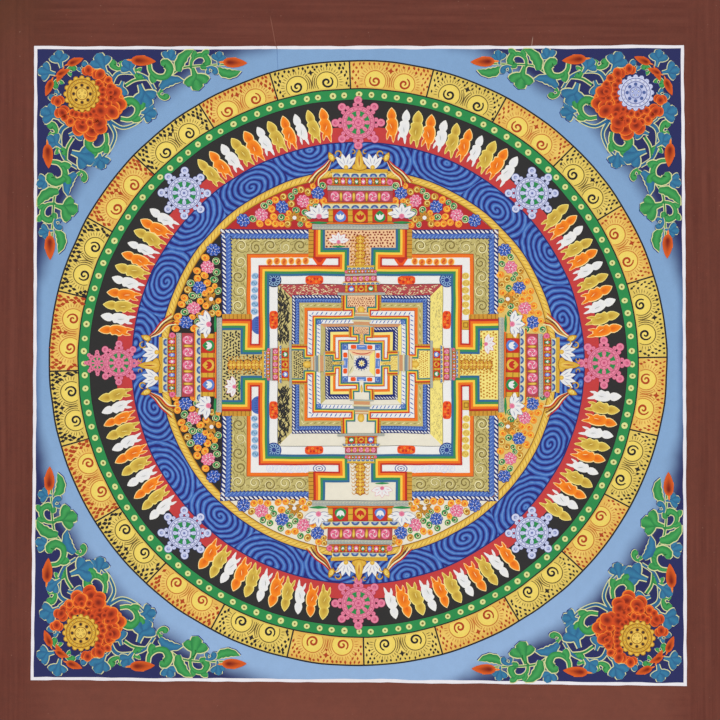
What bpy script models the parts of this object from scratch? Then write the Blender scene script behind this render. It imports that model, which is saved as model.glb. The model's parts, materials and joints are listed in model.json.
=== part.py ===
# A painted cotton wall hanging: one sheet of primed canvas with a maroon border painted round a square field.
# The sheet hangs from its top edge in the XZ plane, its painted face looks towards -Y, and the origin is
# the middle of its top edge. The painting itself is flat, so the solid is the bare sheet.

import math

import bmesh
import bpy

WIDTH = 0.580
HEIGHT = 0.580
THICKNESS = 0.0012
CELLS = 32

# The painted field, from the outer edges of the white line round it
FIELD_LEFT = -0.2515
FIELD_RIGHT = 0.2505
FIELD_TOP = -0.0475
FIELD_BOTTOM = -0.5390

# Each cut edge leans over its length and wavers a little: side, lean, waver, wavers along the edge, phase
EDGES = (
    ("left", -0.0012, 0.0006, 1.6, 0.4),
    ("right", 0.0016, 0.0007, 1.3, 1.9),
    ("top", 0.0008, 0.0004, 2.0, 0.0),
    ("bottom", -0.0038, 0.0006, 1.7, 2.6),
)

# Soft waves that open towards the hem: depth, width of one wave, slant with the drop, phase
WAVES = (
    (0.0011, 0.47, 0.9, 0.5),
    (0.0006, 0.27, -1.4, 2.2),
)
HEM_CURL = 0.0038
HEM_CURL_START = 0.72
SIDE_CURL = 0.0021

MAROON = (0.156, 0.051, 0.034, 1.0)
FIELD_BLUE = (0.205, 0.330, 0.520, 1.0)
PRIMED_COTTON = (0.690, 0.640, 0.520, 1.0)


def clear_scene():
    for old in list(bpy.data.objects):
        bpy.data.objects.remove(old, do_unlink=True)


def paint_material(name, colour):
    material = bpy.data.materials.new(name)
    material.use_nodes = True
    shader = material.node_tree.nodes["Principled BSDF"]
    shader.inputs["Base Color"].default_value = colour
    shader.inputs["Roughness"].default_value = 0.85
    shader.inputs["Metallic"].default_value = 0.0
    material.diffuse_color = colour
    return material


def edge_offset(side, along):
    """How far the named edge lies from its straight line; along runs from 0 to 1."""
    lean, waver, count, phase = next(row[1:] for row in EDGES if row[0] == side)
    turn = 2.0 * math.pi * count * (along - 0.5) + phase
    return lean * (along - 0.5) + waver * math.sin(turn)


def outline_point(across, down):
    """A place on the sheet, given as shares of its width and its drop."""
    left = -WIDTH / 2 + edge_offset("left", down)
    right = WIDTH / 2 + edge_offset("right", down)
    top = edge_offset("top", across)
    bottom = -HEIGHT + edge_offset("bottom", across)
    return left + (right - left) * across, top + (bottom - top) * down


def hang(x, z):
    """Depth of the hanging sheet: straight where it is held, waved and curled forward lower down."""
    drop = min(max(-z / HEIGHT, 0.0), 1.0)
    depth = 0.0
    for wave, width, slant, phase in WAVES:
        depth += wave * drop * math.sin(2.0 * math.pi * x / width + slant * drop + phase)
    curl = max(0.0, (drop - HEM_CURL_START) / (1.0 - HEM_CURL_START))
    depth -= HEM_CURL * curl * curl
    depth -= SIDE_CURL * drop * abs(2.0 * x / WIDTH) ** 4
    return depth


def sheet_surface():
    """The open sheet as an even grid, cut along the edges of the painted field."""
    surface = bmesh.new()
    bmesh.ops.create_grid(surface, x_segments=CELLS, y_segments=CELLS, size=0.5)
    for vert in surface.verts:
        x, z = outline_point(vert.co.x + 0.5, 0.5 - vert.co.y)
        vert.co = (x, 0.0, z)
    for place, normal in (
        ((FIELD_LEFT, 0.0, 0.0), (1.0, 0.0, 0.0)),
        ((FIELD_RIGHT, 0.0, 0.0), (1.0, 0.0, 0.0)),
        ((0.0, 0.0, FIELD_TOP), (0.0, 0.0, 1.0)),
        ((0.0, 0.0, FIELD_BOTTOM), (0.0, 0.0, 1.0)),
    ):
        everything = surface.verts[:] + surface.edges[:] + surface.faces[:]
        bmesh.ops.bisect_plane(surface, geom=everything, dist=1e-6, plane_co=place, plane_no=normal)
    for face in surface.faces:
        middle = face.calc_center_median()
        inside = FIELD_LEFT < middle.x < FIELD_RIGHT and FIELD_BOTTOM < middle.z < FIELD_TOP
        face.material_index = 1 if inside else 0
        face.smooth = True
    for vert in surface.verts:
        vert.co.y = hang(vert.co.x, vert.co.z)
    bmesh.ops.recalc_face_normals(surface, faces=surface.faces)
    if sum(face.normal.y for face in surface.faces) > 0.0:
        bmesh.ops.reverse_faces(surface, faces=surface.faces)
    return surface


def painted_canvas(collection):
    surface = sheet_surface()
    mesh = bpy.data.meshes.new("canvas")
    surface.to_mesh(mesh)
    surface.free()
    canvas = bpy.data.objects.new("canvas", mesh)
    collection.objects.link(canvas)
    mesh.materials.append(paint_material("maroon border", MAROON))
    mesh.materials.append(paint_material("painted field", FIELD_BLUE))
    mesh.materials.append(paint_material("primed back", PRIMED_COTTON))
    thickness = canvas.modifiers.new("thickness", "SOLIDIFY")
    thickness.thickness = THICKNESS
    thickness.offset = 0.0
    thickness.material_offset = 2
    thickness.material_offset_rim = 2
    return canvas


def build():
    clear_scene()
    collection = bpy.data.collections.new("painted hanging")
    bpy.context.scene.collection.children.link(collection)
    painted_canvas(collection)


build()
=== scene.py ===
import json
import math
import random
from contextlib import contextmanager

import bmesh
import bpy
import numpy as np
from mathutils import Matrix, Vector, noise

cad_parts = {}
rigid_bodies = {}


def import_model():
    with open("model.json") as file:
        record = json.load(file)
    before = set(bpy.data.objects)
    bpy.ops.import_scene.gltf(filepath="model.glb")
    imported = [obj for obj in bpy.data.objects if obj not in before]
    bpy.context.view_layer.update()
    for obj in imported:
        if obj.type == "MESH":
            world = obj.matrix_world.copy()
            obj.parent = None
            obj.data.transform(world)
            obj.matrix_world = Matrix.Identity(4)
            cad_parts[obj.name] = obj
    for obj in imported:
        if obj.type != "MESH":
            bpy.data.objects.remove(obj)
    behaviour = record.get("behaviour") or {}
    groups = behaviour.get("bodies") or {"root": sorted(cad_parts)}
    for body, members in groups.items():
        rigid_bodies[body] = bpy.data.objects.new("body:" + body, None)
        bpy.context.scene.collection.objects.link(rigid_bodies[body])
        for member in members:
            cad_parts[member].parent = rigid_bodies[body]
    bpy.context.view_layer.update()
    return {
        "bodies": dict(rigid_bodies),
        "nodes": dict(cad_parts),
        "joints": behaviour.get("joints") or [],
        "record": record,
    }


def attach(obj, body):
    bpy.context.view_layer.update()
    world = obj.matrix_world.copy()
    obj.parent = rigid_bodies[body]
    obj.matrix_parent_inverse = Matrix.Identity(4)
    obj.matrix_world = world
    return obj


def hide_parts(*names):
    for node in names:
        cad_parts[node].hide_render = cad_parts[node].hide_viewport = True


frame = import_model()
mm = 0.001
hand = random.Random(11)
print("frame loaded:", sorted(frame["nodes"]))

# The cloth hangs from its top edge. Each cut edge has a lean, a waver, a count of wavers and a phase.
cloth = {
    "width": 580 * mm,
    "height": 580 * mm,
    "thickness": 1.2 * mm,
    "cells": 116,
    "edges": {
        "left": (-1.2 * mm, 0.6 * mm, 1.6, 0.4),
        "right": (1.6 * mm, 0.7 * mm, 1.3, 1.9),
        "top": (0.8 * mm, 0.4 * mm, 2.0, 0.0),
        "bottom": (-3.8 * mm, 0.6 * mm, 1.7, 2.6),
    },
    "waves": ((1.1 * mm, 470 * mm, 0.9, 0.5), (0.6 * mm, 270 * mm, -1.4, 2.2)),
    "hemCurl": 3.8 * mm,
    "hemCurlStart": 0.72,
    "sideCurl": 2.1 * mm,
    "weavePitch": 0.5 * mm,
}

# A pressed fold runs down from near the top edge, over the white line and into the blue. Its light and shade
# are also painted: a highlight on its left in the maroon, shade over the white line and in the blue
crease = {
    "top": (-69.6 * mm, -19.0 * mm),
    "knee": (-63.9 * mm, -49.0 * mm),
    "foot": (-63.2 * mm, -68.5 * mm),
    "depth": 0.32 * mm,
    "halfWidth": 0.85 * mm,
    "cuts": (-2.2, -1.5, -1.0, -0.6, -0.3, 0.0, 0.3, 0.6, 1.0, 1.5, 2.2),
    "foldHighlight": ((-69.3 * mm, -24.0 * mm), (-64.6 * mm, -49.5 * mm)),
    "foldShadeNotch": ((-64.9 * mm, -47.2 * mm), (-63.7 * mm, -50.8 * mm)),
    "scratch": ((133.2 * mm, -40.6 * mm), (131.6 * mm, -52.6 * mm)),
}

# The design is drawn flat, in millimetres round its middle, x to the right and y up. hangCoat lays each
# coat on the cloth at its own height and lets every long line waver a little.
design = {
    "middle": (-0.4, -292.3),
    "coat": 0.05 * mm,
    "film": 0.035 * mm,
    "lift": 0.0012,
    "waver": 0.5,
    "waverLength": 21.0,
    "widened": 0.0135,
    "ringsWidened": 1.7,
    "ringsLeft": 1.0,
    "flattened": 0.006,
}


def ovalShift(x, y):
    # The rings are a little wider than high, and lie left of the palaces
    reach = math.hypot(x, y)
    share = min(max((reach - 125.0) / 35.0, 0.0), 1.0)
    share *= share * (3.0 - 2.0 * share)
    ringShift = design["ringsWidened"] * x / max(reach, 1.0) - design["ringsLeft"]
    return design["widened"] * x + share * ringShift, -design["flattened"] * y * (1.0 - share)


def edgeShift(side, along):
    lean, waver, count, phase = cloth["edges"][side]
    return lean * (along - 0.5) + waver * math.sin(2 * math.pi * count * (along - 0.5) + phase)


def creaseAt(x, z):
    (topX, topZ), (kneeX, kneeZ), (footX, footZ) = crease["top"], crease["knee"], crease["foot"]
    if not footZ < z < topZ:
        return 0.0
    if z > kneeZ:
        share = (topZ - z) / (topZ - kneeZ)
        middle = topX + (kneeX - topX) * share
        fade = min(1.0, share * 3.0)
    else:
        share = (kneeZ - z) / (kneeZ - footZ)
        middle = kneeX + (footX - kneeX) * share
        fade = 1.0 - share
    return crease["depth"] * fade * math.exp(-(((x - middle) / crease["halfWidth"]) ** 2))


def clothDepth(x, z):
    drop = min(max(-z / cloth["height"], 0.0), 1.0)
    depth = creaseAt(x, z)
    for wave, width, slant, phase in cloth["waves"]:
        depth += wave * drop * math.sin(2 * math.pi * x / width + slant * drop + phase)
    curl = max(0.0, (drop - cloth["hemCurlStart"]) / (1.0 - cloth["hemCurlStart"]))
    depth -= cloth["hemCurl"] * curl * curl
    depth -= cloth["sideCurl"] * drop * abs(2 * x / cloth["width"]) ** 4
    return depth


# Colours are given as they look, from 0 to 255: the body of the stroke, its heart, and how mottled it is
paints = {
    "skyField": ((129, 164, 204), None, 0.10),
    "borderMaroon": ((105, 55, 43), None, 0.24),
    "primedCotton": ((214, 204, 182), None, 0.16),
    "waveWater": ((62, 104, 184), (38, 38, 118), 0.16),
    "lineWhite": ((233, 230, 236), None, 0.10),
    "inkBlack": ((38, 34, 38), None, 0.10),
    "inkRed": ((168, 52, 28), None, 0.14),
    "coilRed": ((176, 66, 30), None, 0.14),
    "rayOrange": ((198, 116, 50), None, 0.12),
    "rayBrown": ((98, 80, 42), None, 0.12),
    "inkBlue": ((34, 46, 110), None, 0.12),
    "flameYellow": ((221, 193, 94), (234, 206, 106), 0.20),
    "flameOrange": ((228, 180, 86), (238, 201, 104), 0.20),
    "flameHalo": ((238, 211, 100), (242, 218, 112), 0.12),
    "beadGreen": ((44, 140, 76), None, 0.18),
    "beadCream": ((216, 220, 142), (226, 228, 156), 0.10),
    "nightBlack": ((46, 45, 45), None, 0.20),
    "bandRed": ((196, 62, 62), None, 0.16),
    "petalWhite": ((236, 235, 232), (228, 228, 230), 0.08),
    "petalOrange": ((248, 138, 30), (226, 104, 20), 0.12),
    "petalMustard": ((216, 184, 76), (188, 150, 54), 0.14),
    "petalRim": ((252, 222, 150), None, 0.08),
    "rosePink": ((232, 136, 162), (216, 104, 140), 0.14),
    "roseDeep": ((188, 78, 114), None, 0.12),
    "lilac": ((212, 216, 240), (170, 180, 222), 0.10),
    "lilacDeep": ((98, 108, 164), None, 0.12),
    "ropeGold": ((216, 168, 54), (240, 204, 98), 0.16),
    "ropeDark": ((150, 100, 34), None, 0.12),
    "ropeMid": ((184, 132, 44), None, 0.12),
    "groundRed": ((182, 44, 46), None, 0.18),
    "groundOchre": ((226, 192, 104), None, 0.18),
    "groundCream": ((232, 226, 208), None, 0.12),
    "groundBlack": ((44, 40, 38), None, 0.18),
    "blossomPink": ((236, 128, 160), (206, 60, 104), 0.12),
    "blossomBlue": ((58, 98, 190), (28, 48, 130), 0.12),
    "curlOrange": ((244, 158, 58), (218, 96, 32), 0.14),
    "curlGreen": ((62, 146, 84), (30, 104, 62), 0.14),
    "curlGold": ((206, 146, 52), (170, 106, 36), 0.14),
    "curlCream": ((240, 230, 178), None, 0.08),
    "braidNavy": ((46, 66, 140), None, 0.14),
    "braidBlue": ((92, 130, 200), None, 0.12),
    "oliveGold": ((194, 180, 114), None, 0.20),
    "oliveDark": ((132, 116, 62), None, 0.16),
    "wallRed": ((196, 48, 36), None, 0.14),
    "wallOrange": ((238, 116, 34), None, 0.12),
    "wallYellow": ((246, 204, 72), None, 0.10),
    "wallGreen": ((62, 140, 84), None, 0.12),
    "wallBlue": ((52, 106, 148), None, 0.12),
    "duskRed": ((176, 72, 76), None, 0.18),
    "spotGold": ((206, 190, 124), None, 0.18),
    "gatePeach": ((240, 196, 150), None, 0.14),
    "gateRed": ((142, 52, 40), None, 0.14),
    "paleBlue": ((150, 186, 216), None, 0.12),
    "pillarGold": ((206, 150, 54), None, 0.16),
    "inkBrown": ((112, 52, 42), None, 0.12),
    "beamCream": ((222, 214, 172), None, 0.12),
    "paleYellow": ((244, 226, 130), None, 0.12),
    "courtBlue": ((34, 52, 128), (22, 30, 84), 0.14),
    "beamGrey": ((172, 176, 166), None, 0.14),
    "beamMark": ((126, 142, 150), None, 0.14),
    "domeBlue": ((72, 98, 156), None, 0.14),
    "domePale": ((150, 172, 206), None, 0.14),
    "tileOrange": ((236, 86, 32), None, 0.10),
    "clayPeach": ((208, 150, 106), None, 0.14),
    "braidMid": ((74, 106, 182), None, 0.14),
    "braidPale": ((132, 166, 216), None, 0.12),
    "leafTeal": ((44, 100, 142), (54, 122, 160), 0.18),
    "leafGreen": ((44, 130, 70), (66, 158, 84), 0.18),
    "leafLine": ((216, 216, 158), None, 0.10),
    "peonyRim": ((242, 128, 44), None, 0.16),
    "peonyOrange": ((210, 76, 30), (126, 34, 18), 0.20),
    "budRed": ((214, 90, 30), (124, 32, 16), 0.16),
}
paintNumber = {name: number for number, name in enumerate(paints)}


def srgb(colour):
    shades = []
    for channel in colour:
        share = channel / 255
        shades.append(share / 12.92 if share <= 0.04045 else ((share + 0.055) / 1.055) ** 2.4)
    return (*shades, 1.0)


def make(tree, kind, values=(), **settings):
    node = tree.nodes.new(kind)
    for name, value in settings.items():
        setattr(node, name, value)
    for socket, value in values:
        if isinstance(value, bpy.types.NodeSocket):
            tree.links.new(value, node.inputs[socket])
        else:
            node.inputs[socket].default_value = value
    return node


def maths(tree, operation, first, second=0.0, third=0.0):
    values = [(0, first), (1, second)]
    if operation == "MULTIPLY_ADD":
        values.append((2, third))
    return make(tree, "ShaderNodeMath", values, operation=operation).outputs[0]


def mixed(tree, share, first, second):
    return make(tree, "ShaderNodeMix", ((0, share), (6, first), (7, second)),
                data_type="RGBA", clamp_factor=True).outputs[2]


def ramped(tree, value, low, high):
    return make(tree, "ShaderNodeMapRange", (("Value", value), ("From Min", low), ("From Max", high)),
                interpolation_type="SMOOTHSTEP").outputs[0]


def noiseAt(tree, vector, scale, detail=3.0):
    return make(tree, "ShaderNodeTexNoise",
                (("Vector", vector), ("Scale", scale), ("Detail", detail))).outputs[0]


def between(tree, share, first, second):
    return make(tree, "ShaderNodeMix", ((0, share), (2, first), (3, second)), data_type="FLOAT").outputs[0]


def reachOf(tree, across, up):
    squares = [maths(tree, "MULTIPLY", side, side) for side in (across, up)]
    return maths(tree, "SQRT", maths(tree, "ADD", *squares))


def axesOf(tree, place):
    axes = make(tree, "ShaderNodeSeparateXYZ", ((0, place),)).outputs
    return axes["X"], axes["Z"]


# The grain of the pigment from broad to fine, and what it does to the colour, the relief and the gloss
pigment = {
    "scales": (14.0, 170.0, 1100.0),
    "broadShare": 0.9,
    "patchyShare": 1.1,
    "even": 1.5,
    "threadRelief": 0.5,
    "patchyRelief": 0.8,
    "roughness": (0.16, 0.72),
}


def makeHandLaid():
    # Uneven pigment, thread by thread: a colour comes in and goes out mottled, with its gloss and height
    tree = bpy.data.node_groups.new("hand laid pigment", "ShaderNodeTree")
    for name, way, kind in (("Colour", "INPUT", "Color"), ("Mottle", "INPUT", "Float"),
                            ("Colour", "OUTPUT", "Color"), ("Roughness", "OUTPUT", "Float"),
                            ("Height", "OUTPUT", "Float")):
        tree.interface.new_socket(name=name, in_out=way, socket_type="NodeSocket" + kind)
    given = tree.nodes.new("NodeGroupInput")
    result = tree.nodes.new("NodeGroupOutput")
    place = make(tree, "ShaderNodeTexCoord").outputs["Object"]
    broad, patchy, grain = (noiseAt(tree, place, scale, detail)
                            for scale, detail in zip(pigment["scales"], (2.0, 3.0, 2.0)))
    uneven = maths(tree, "MULTIPLY_ADD", patchy, pigment["patchyShare"], grain)
    uneven = maths(tree, "MULTIPLY_ADD", broad, pigment["broadShare"], uneven)
    uneven = maths(tree, "SUBTRACT", uneven, pigment["even"])
    gain = maths(tree, "MULTIPLY_ADD", uneven, given.outputs["Mottle"], 1.0)
    coloured = make(tree, "ShaderNodeVectorMath", ((0, given.outputs["Colour"]), ("Scale", gain)),
                    operation="SCALE").outputs[0]
    turns = 2 * math.pi / cloth["weavePitch"]
    warp, weft = (maths(tree, "SINE", maths(tree, "MULTIPLY", axis, turns)) for axis in axesOf(tree, place))
    thread = maths(tree, "MULTIPLY", warp, weft)
    height = maths(tree, "MULTIPLY_ADD", patchy, pigment["patchyRelief"], grain)
    height = maths(tree, "MULTIPLY_ADD", thread, pigment["threadRelief"], height)
    rough = maths(tree, "MULTIPLY_ADD", patchy, *pigment["roughness"])
    for name, value in (("Colour", coloured), ("Roughness", rough), ("Height", height)):
        tree.links.new(value, result.inputs[name])
    return tree


handLaid = makeHandLaid()


# Washes over the plain colours of the cloth: how each looks and how strong it is
washes = {
    "lowSky": ((146, 177, 216), 1.0),
    "skyRim": ((58, 84, 140), 0.75),
    "skyFoldShade": ((78, 108, 158), 0.5),
    "deepSky": ((40, 44, 94), 1.0),
    "pinkHem": ((122, 69, 56), 0.7),
    "brownCorner": ((82, 47, 26), 0.6),
    "foldHighlight": ((152, 102, 86), 0.55),
    "scratch": ((196, 168, 152), 0.7),
    "specks": ((170, 130, 112), 0.4),
    "foldShadeNotch": ((132, 92, 84), 0.8),
    "paleWater": ((112, 156, 214), 0.75),
}
# Where a mask starts and where it is full, in metres, or as a share of its noise or its line
stretches = {
    "lowSky": (0.0, -0.25),
    "skyRim": (0.243, 0.252),
    "deepSky": (0.253, 0.272),
    "sideMarks": (0.246, 0.256),
    "brushMarks": (0.25, 0.78),
    "blotches": (0.35, 0.7),
    "hem": (-0.47, -0.56),
    "hemMiddle": (0.262, 0.225),
    "cornerLeft": (-0.20, -0.285),
    "cornerTop": (-0.09, -0.01),
    "specks": (0.78, 0.83),
    "lineStart": (-0.03, 0.2),
    "lineEnd": (1.03, 0.8),
}
brushMarks = {
    "dark": (96, 47, 37),
    "light": (114, 61, 49),
    "level": (9.0, 1.0, 260.0),
    "upright": (260.0, 1.0, 9.0),
    "blotched": 0.6,
}


def masked(tree, value, name):
    return ramped(tree, value, *stretches[name])


def washed(tree, colour, name, mask):
    paint, share = washes[name]
    return mixed(tree, maths(tree, "MULTIPLY", mask, share), colour, srgb(paint))


def nearLine(tree, axes, start, end, halfWidth):
    # A mask along an upright line from start down to end, faded at its ends
    across, up = axes
    share = maths(tree, "DIVIDE", maths(tree, "SUBTRACT", up, start[1]), end[1] - start[1])
    middle = maths(tree, "MULTIPLY_ADD", share, end[0] - start[0], start[0])
    away = maths(tree, "ABSOLUTE", maths(tree, "SUBTRACT", across, middle))
    ends = maths(tree, "MULTIPLY", masked(tree, share, "lineStart"), masked(tree, share, "lineEnd"))
    return maths(tree, "MULTIPLY", ends, ramped(tree, away, halfWidth, 0.0))


def fieldColour(tree, body, place):
    # Sky blue round the rings, deep blue in the corners, a thin darker edge along the sides, and painted
    # shade down the fold
    axes = axesOf(tree, place)
    across, up = (maths(tree, "SUBTRACT", axis, middle * mm) for axis, middle in zip(axes, design["middle"]))
    cloudy = noiseAt(tree, place, 26.0, 2.0)
    reach = maths(tree, "MULTIPLY_ADD", cloudy, 0.014, reachOf(tree, across, up))
    sky = washed(tree, body, "lowSky", masked(tree, up, "lowSky"))
    sky = washed(tree, sky, "skyRim", masked(tree, maths(tree, "ABSOLUTE", across), "skyRim"))
    # painted shade: a darker line down the middle of the fold
    sky = washed(tree, sky, "skyFoldShade", nearLine(tree, axes, crease["knee"], crease["foot"], 0.6 * mm))
    return washed(tree, sky, "deepSky", masked(tree, reach, "deepSky"))


def borderColour(tree, body, place):
    # Long brush marks follow each side; the top left is browner and the bottom pinker and lighter; a painted
    # highlight runs down the left side of the fold
    axes = axesOf(tree, place)
    across, up = axes
    marks = []
    for way in ("level", "upright"):
        drawn = make(tree, "ShaderNodeMapping", (("Vector", place), ("Scale", brushMarks[way])))
        marks.append(noiseAt(tree, drawn.outputs[0], 1.0, 4.0))
    aside = maths(tree, "ABSOLUTE", across)
    marks = between(tree, masked(tree, aside, "sideMarks"), *marks)
    shaded = mixed(tree, masked(tree, marks, "brushMarks"), srgb(brushMarks["dark"]),
                   srgb(brushMarks["light"]))
    blotches = masked(tree, noiseAt(tree, place, 38.0), "blotches")
    shaded = mixed(tree, maths(tree, "MULTIPLY", blotches, brushMarks["blotched"]), shaded, body)
    hem = maths(tree, "MULTIPLY", masked(tree, up, "hem"), masked(tree, aside, "hemMiddle"))
    shaded = washed(tree, shaded, "pinkHem", hem)
    corner = maths(tree, "MULTIPLY", masked(tree, across, "cornerLeft"), masked(tree, up, "cornerTop"))
    shaded = washed(tree, shaded, "brownCorner", corner)
    # painted highlight: a paler line on the lit left side of the fold
    shaded = washed(tree, shaded, "foldHighlight", nearLine(tree, axes, *crease["foldHighlight"], 0.55 * mm))
    shaded = washed(tree, shaded, "scratch", nearLine(tree, axes, *crease["scratch"], 0.4 * mm))
    return washed(tree, shaded, "specks", masked(tree, noiseAt(tree, place, 620.0, 1.0), "specks"))


waves = {
    "inner": 150.0,
    "outer": 170.2,
    "eyes": 10,
    "line": 3.5,
    "widened": 0.9765,
    "turned": 0.35,
    "wide": 0.74,
    # a shift by shares of the pitch, and how far the eyes stand out from the middle of the ring
    "rows": ((0.0, -3.0 * mm), (0.5, 7.8 * mm)),
    "wobble": 3.4 * mm,
    "streaks": (0.9, -0.45),
    "deep": (0.0, 0.85),
    "pale": (-0.45, -1.15),
}


def waterColour(tree, body, place, paint):
    # Rings of water open round evenly spaced eyes, and each wave meets the next along a seam
    across, up = axesOf(tree, place)
    left = (design["ringsLeft"] - design["middle"][0]) * mm
    across = maths(tree, "MULTIPLY", maths(tree, "ADD", across, left), waves["widened"])
    up = maths(tree, "SUBTRACT", up, design["middle"][1] * mm)
    reach = reachOf(tree, across, up)
    turn = maths(tree, "ARCTAN2", across, up)
    pitch = 2 * math.pi / waves["eyes"]
    middleReach = (waves["inner"] + waves["outer"]) / 2 * mm
    line = waves["line"] * mm
    eyes = []
    for shift, height in waves["rows"]:
        turned = maths(tree, "MULTIPLY_ADD", turn, 1 / pitch, shift + waves["turned"])
        beside = maths(tree, "SUBTRACT", maths(tree, "FRACT", turned), 0.5)
        along = maths(tree, "MULTIPLY", beside, pitch * middleReach * waves["wide"])
        over = maths(tree, "SUBTRACT", maths(tree, "SUBTRACT", reach, middleReach), height)
        eyes.append((along, over, reachOf(tree, along, over)))
    (along, over, far), (_, _, farther) = eyes
    swirl = maths(tree, "ARCTAN2", over, along)
    wound = maths(tree, "MULTIPLY_ADD", swirl, line / (2 * math.pi), far)
    nearest = between(tree, maths(tree, "LESS_THAN", farther, far), wound, farther)
    nearest = maths(tree, "MULTIPLY_ADD", noiseAt(tree, place, 75.0, 2.0), waves["wobble"], nearest)
    stripe = maths(tree, "SINE", maths(tree, "MULTIPLY", nearest, 2 * math.pi / line))
    streaks = maths(tree, "MULTIPLY_ADD", noiseAt(tree, place, 260.0, 2.0), *waves["streaks"])
    stripe = maths(tree, "ADD", stripe, streaks)
    water = washed(tree, body, "paleWater", ramped(tree, stripe, *waves["pale"]))
    return mixed(tree, ramped(tree, stripe, *waves["deep"]), water, paint)


paintCache = {}


def paintMaterial(name):
    if name in paintCache:
        return paintCache[name]
    body, heart, mottle = paints[name]
    material = bpy.data.materials.new(name)
    material.use_nodes = True
    tree = material.node_tree
    shader = tree.nodes["Principled BSDF"]
    place = make(tree, "ShaderNodeTexCoord").outputs["Object"]
    colour = make(tree, "ShaderNodeRGB")
    colour.outputs[0].default_value = srgb(body)
    colour = colour.outputs[0]
    if name == "skyField":
        colour = fieldColour(tree, colour, place)
    elif name == "borderMaroon":
        colour = borderColour(tree, colour, place)
    elif name == "waveWater":
        colour = waterColour(tree, colour, place, srgb(heart))
    elif name == "lineWhite":
        # painted shade where the fold crosses the white line
        foldShadeNotch = nearLine(tree, axesOf(tree, place), *crease["foldShadeNotch"], 0.7 * mm)
        colour = washed(tree, colour, "foldShadeNotch", foldShadeNotch)
    elif heart:
        tint = make(tree, "ShaderNodeAttribute", attribute_name="tint").outputs["Fac"]
        colour = mixed(tree, ramped(tree, tint, 0.05, 0.95), colour, srgb(heart))
    laid = make(tree, "ShaderNodeGroup", node_tree=handLaid)
    tree.links.new(colour, laid.inputs["Colour"])
    laid.inputs["Mottle"].default_value = mottle
    laid = laid.outputs
    bump = make(tree, "ShaderNodeBump", (("Height", laid["Height"]), ("Strength", 0.35),
                                         ("Distance", 0.06 * mm)))
    for socket, value in (("Base Color", laid["Colour"]), ("Roughness", laid["Roughness"]),
                          ("Normal", bump.outputs[0])):
        tree.links.new(value, shader.inputs[socket])
    shader.inputs["Specular IOR Level"].default_value = 0.22
    if name == "primedCotton":
        shader.inputs["Sheen Weight"].default_value = 0.15
    paintCache[name] = material
    return material


def keep(bm, name):
    mesh = bpy.data.meshes.new(name)
    bm.to_mesh(mesh)
    bm.free()
    return mesh


def blob(name, sides, outline, hub=(0.0, 0.0)):
    # A round patch whose rim follows outline(angle), clockwise from the top; the hub takes the heart colour
    bm = bmesh.new()
    tint = bm.verts.layers.float.new("tint")
    bmesh.ops.create_circle(bm, cap_ends=True, cap_tris=True, segments=sides, radius=1.0)
    for vert in bm.verts:
        if vert.co.length < 0.5:
            vert[tint] = 1.0
            vert.co = (*hub, 0.0)
        else:
            vert.co = (*outline(math.atan2(vert.co.x, vert.co.y)), 0.0)
    return keep(bm, name)


def ribbon(name, path, width, steps, across=1):
    # A strip laid along path(0 to 1); its middle line takes the heart colour where it has one
    bm = bmesh.new()
    tint = bm.verts.layers.float.new("tint")
    bmesh.ops.create_grid(bm, x_segments=steps, y_segments=across, size=0.5)
    for vert in bm.verts:
        along = vert.co.x + 0.5
        side = vert.co.y * 2.0
        here = Vector(path(along))
        ahead = (Vector(path(along + 0.002)) - Vector(path(along - 0.002))).normalized()
        half = width(along) / 2
        vert[tint] = 1.0 - abs(side)
        vert.co = (here.x - ahead.y * side * half, here.y + ahead.x * side * half, 0.0)
    bmesh.ops.remove_doubles(bm, verts=bm.verts, dist=0.01)
    return keep(bm, name)


def panel(name, width, height, cell=9.0):
    bm = bmesh.new()
    bm.verts.layers.float.new("tint")
    bmesh.ops.create_grid(bm, x_segments=max(1, math.ceil(width / cell)),
                          y_segments=max(1, math.ceil(height / cell)), size=0.5)
    bmesh.ops.scale(bm, vec=(width, height, 1.0), verts=bm.verts)
    return keep(bm, name)


def band(name, inner, outer, paint, start=0.0, end=360.0, cell=7.0):
    # A ring of paint, or part of one, clockwise from the top
    bm = bmesh.new()
    tint = bm.verts.layers.float.new("tint")
    rows = 2 * max(1, math.ceil((outer - inner) / cell / 2))
    steps = max(60, math.ceil(2 * math.pi * outer / cell)) if end - start == 360 else 12
    bmesh.ops.create_grid(bm, x_segments=steps, y_segments=rows, size=0.5)
    for face in bm.faces:
        face.material_index = paintNumber[paint]
    for vert in bm.verts:
        turn = math.radians(start + (end - start) * (vert.co.x + 0.5))
        radius = inner + (outer - inner) * (vert.co.y + 0.5)
        vert[tint] = 1.0 - abs(2.0 * vert.co.y)
        vert.co = (radius * math.sin(turn), radius * math.cos(turn), 0.0)
    bmesh.ops.remove_doubles(bm, verts=bm.verts, dist=0.001)
    return keep(bm, name)


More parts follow.
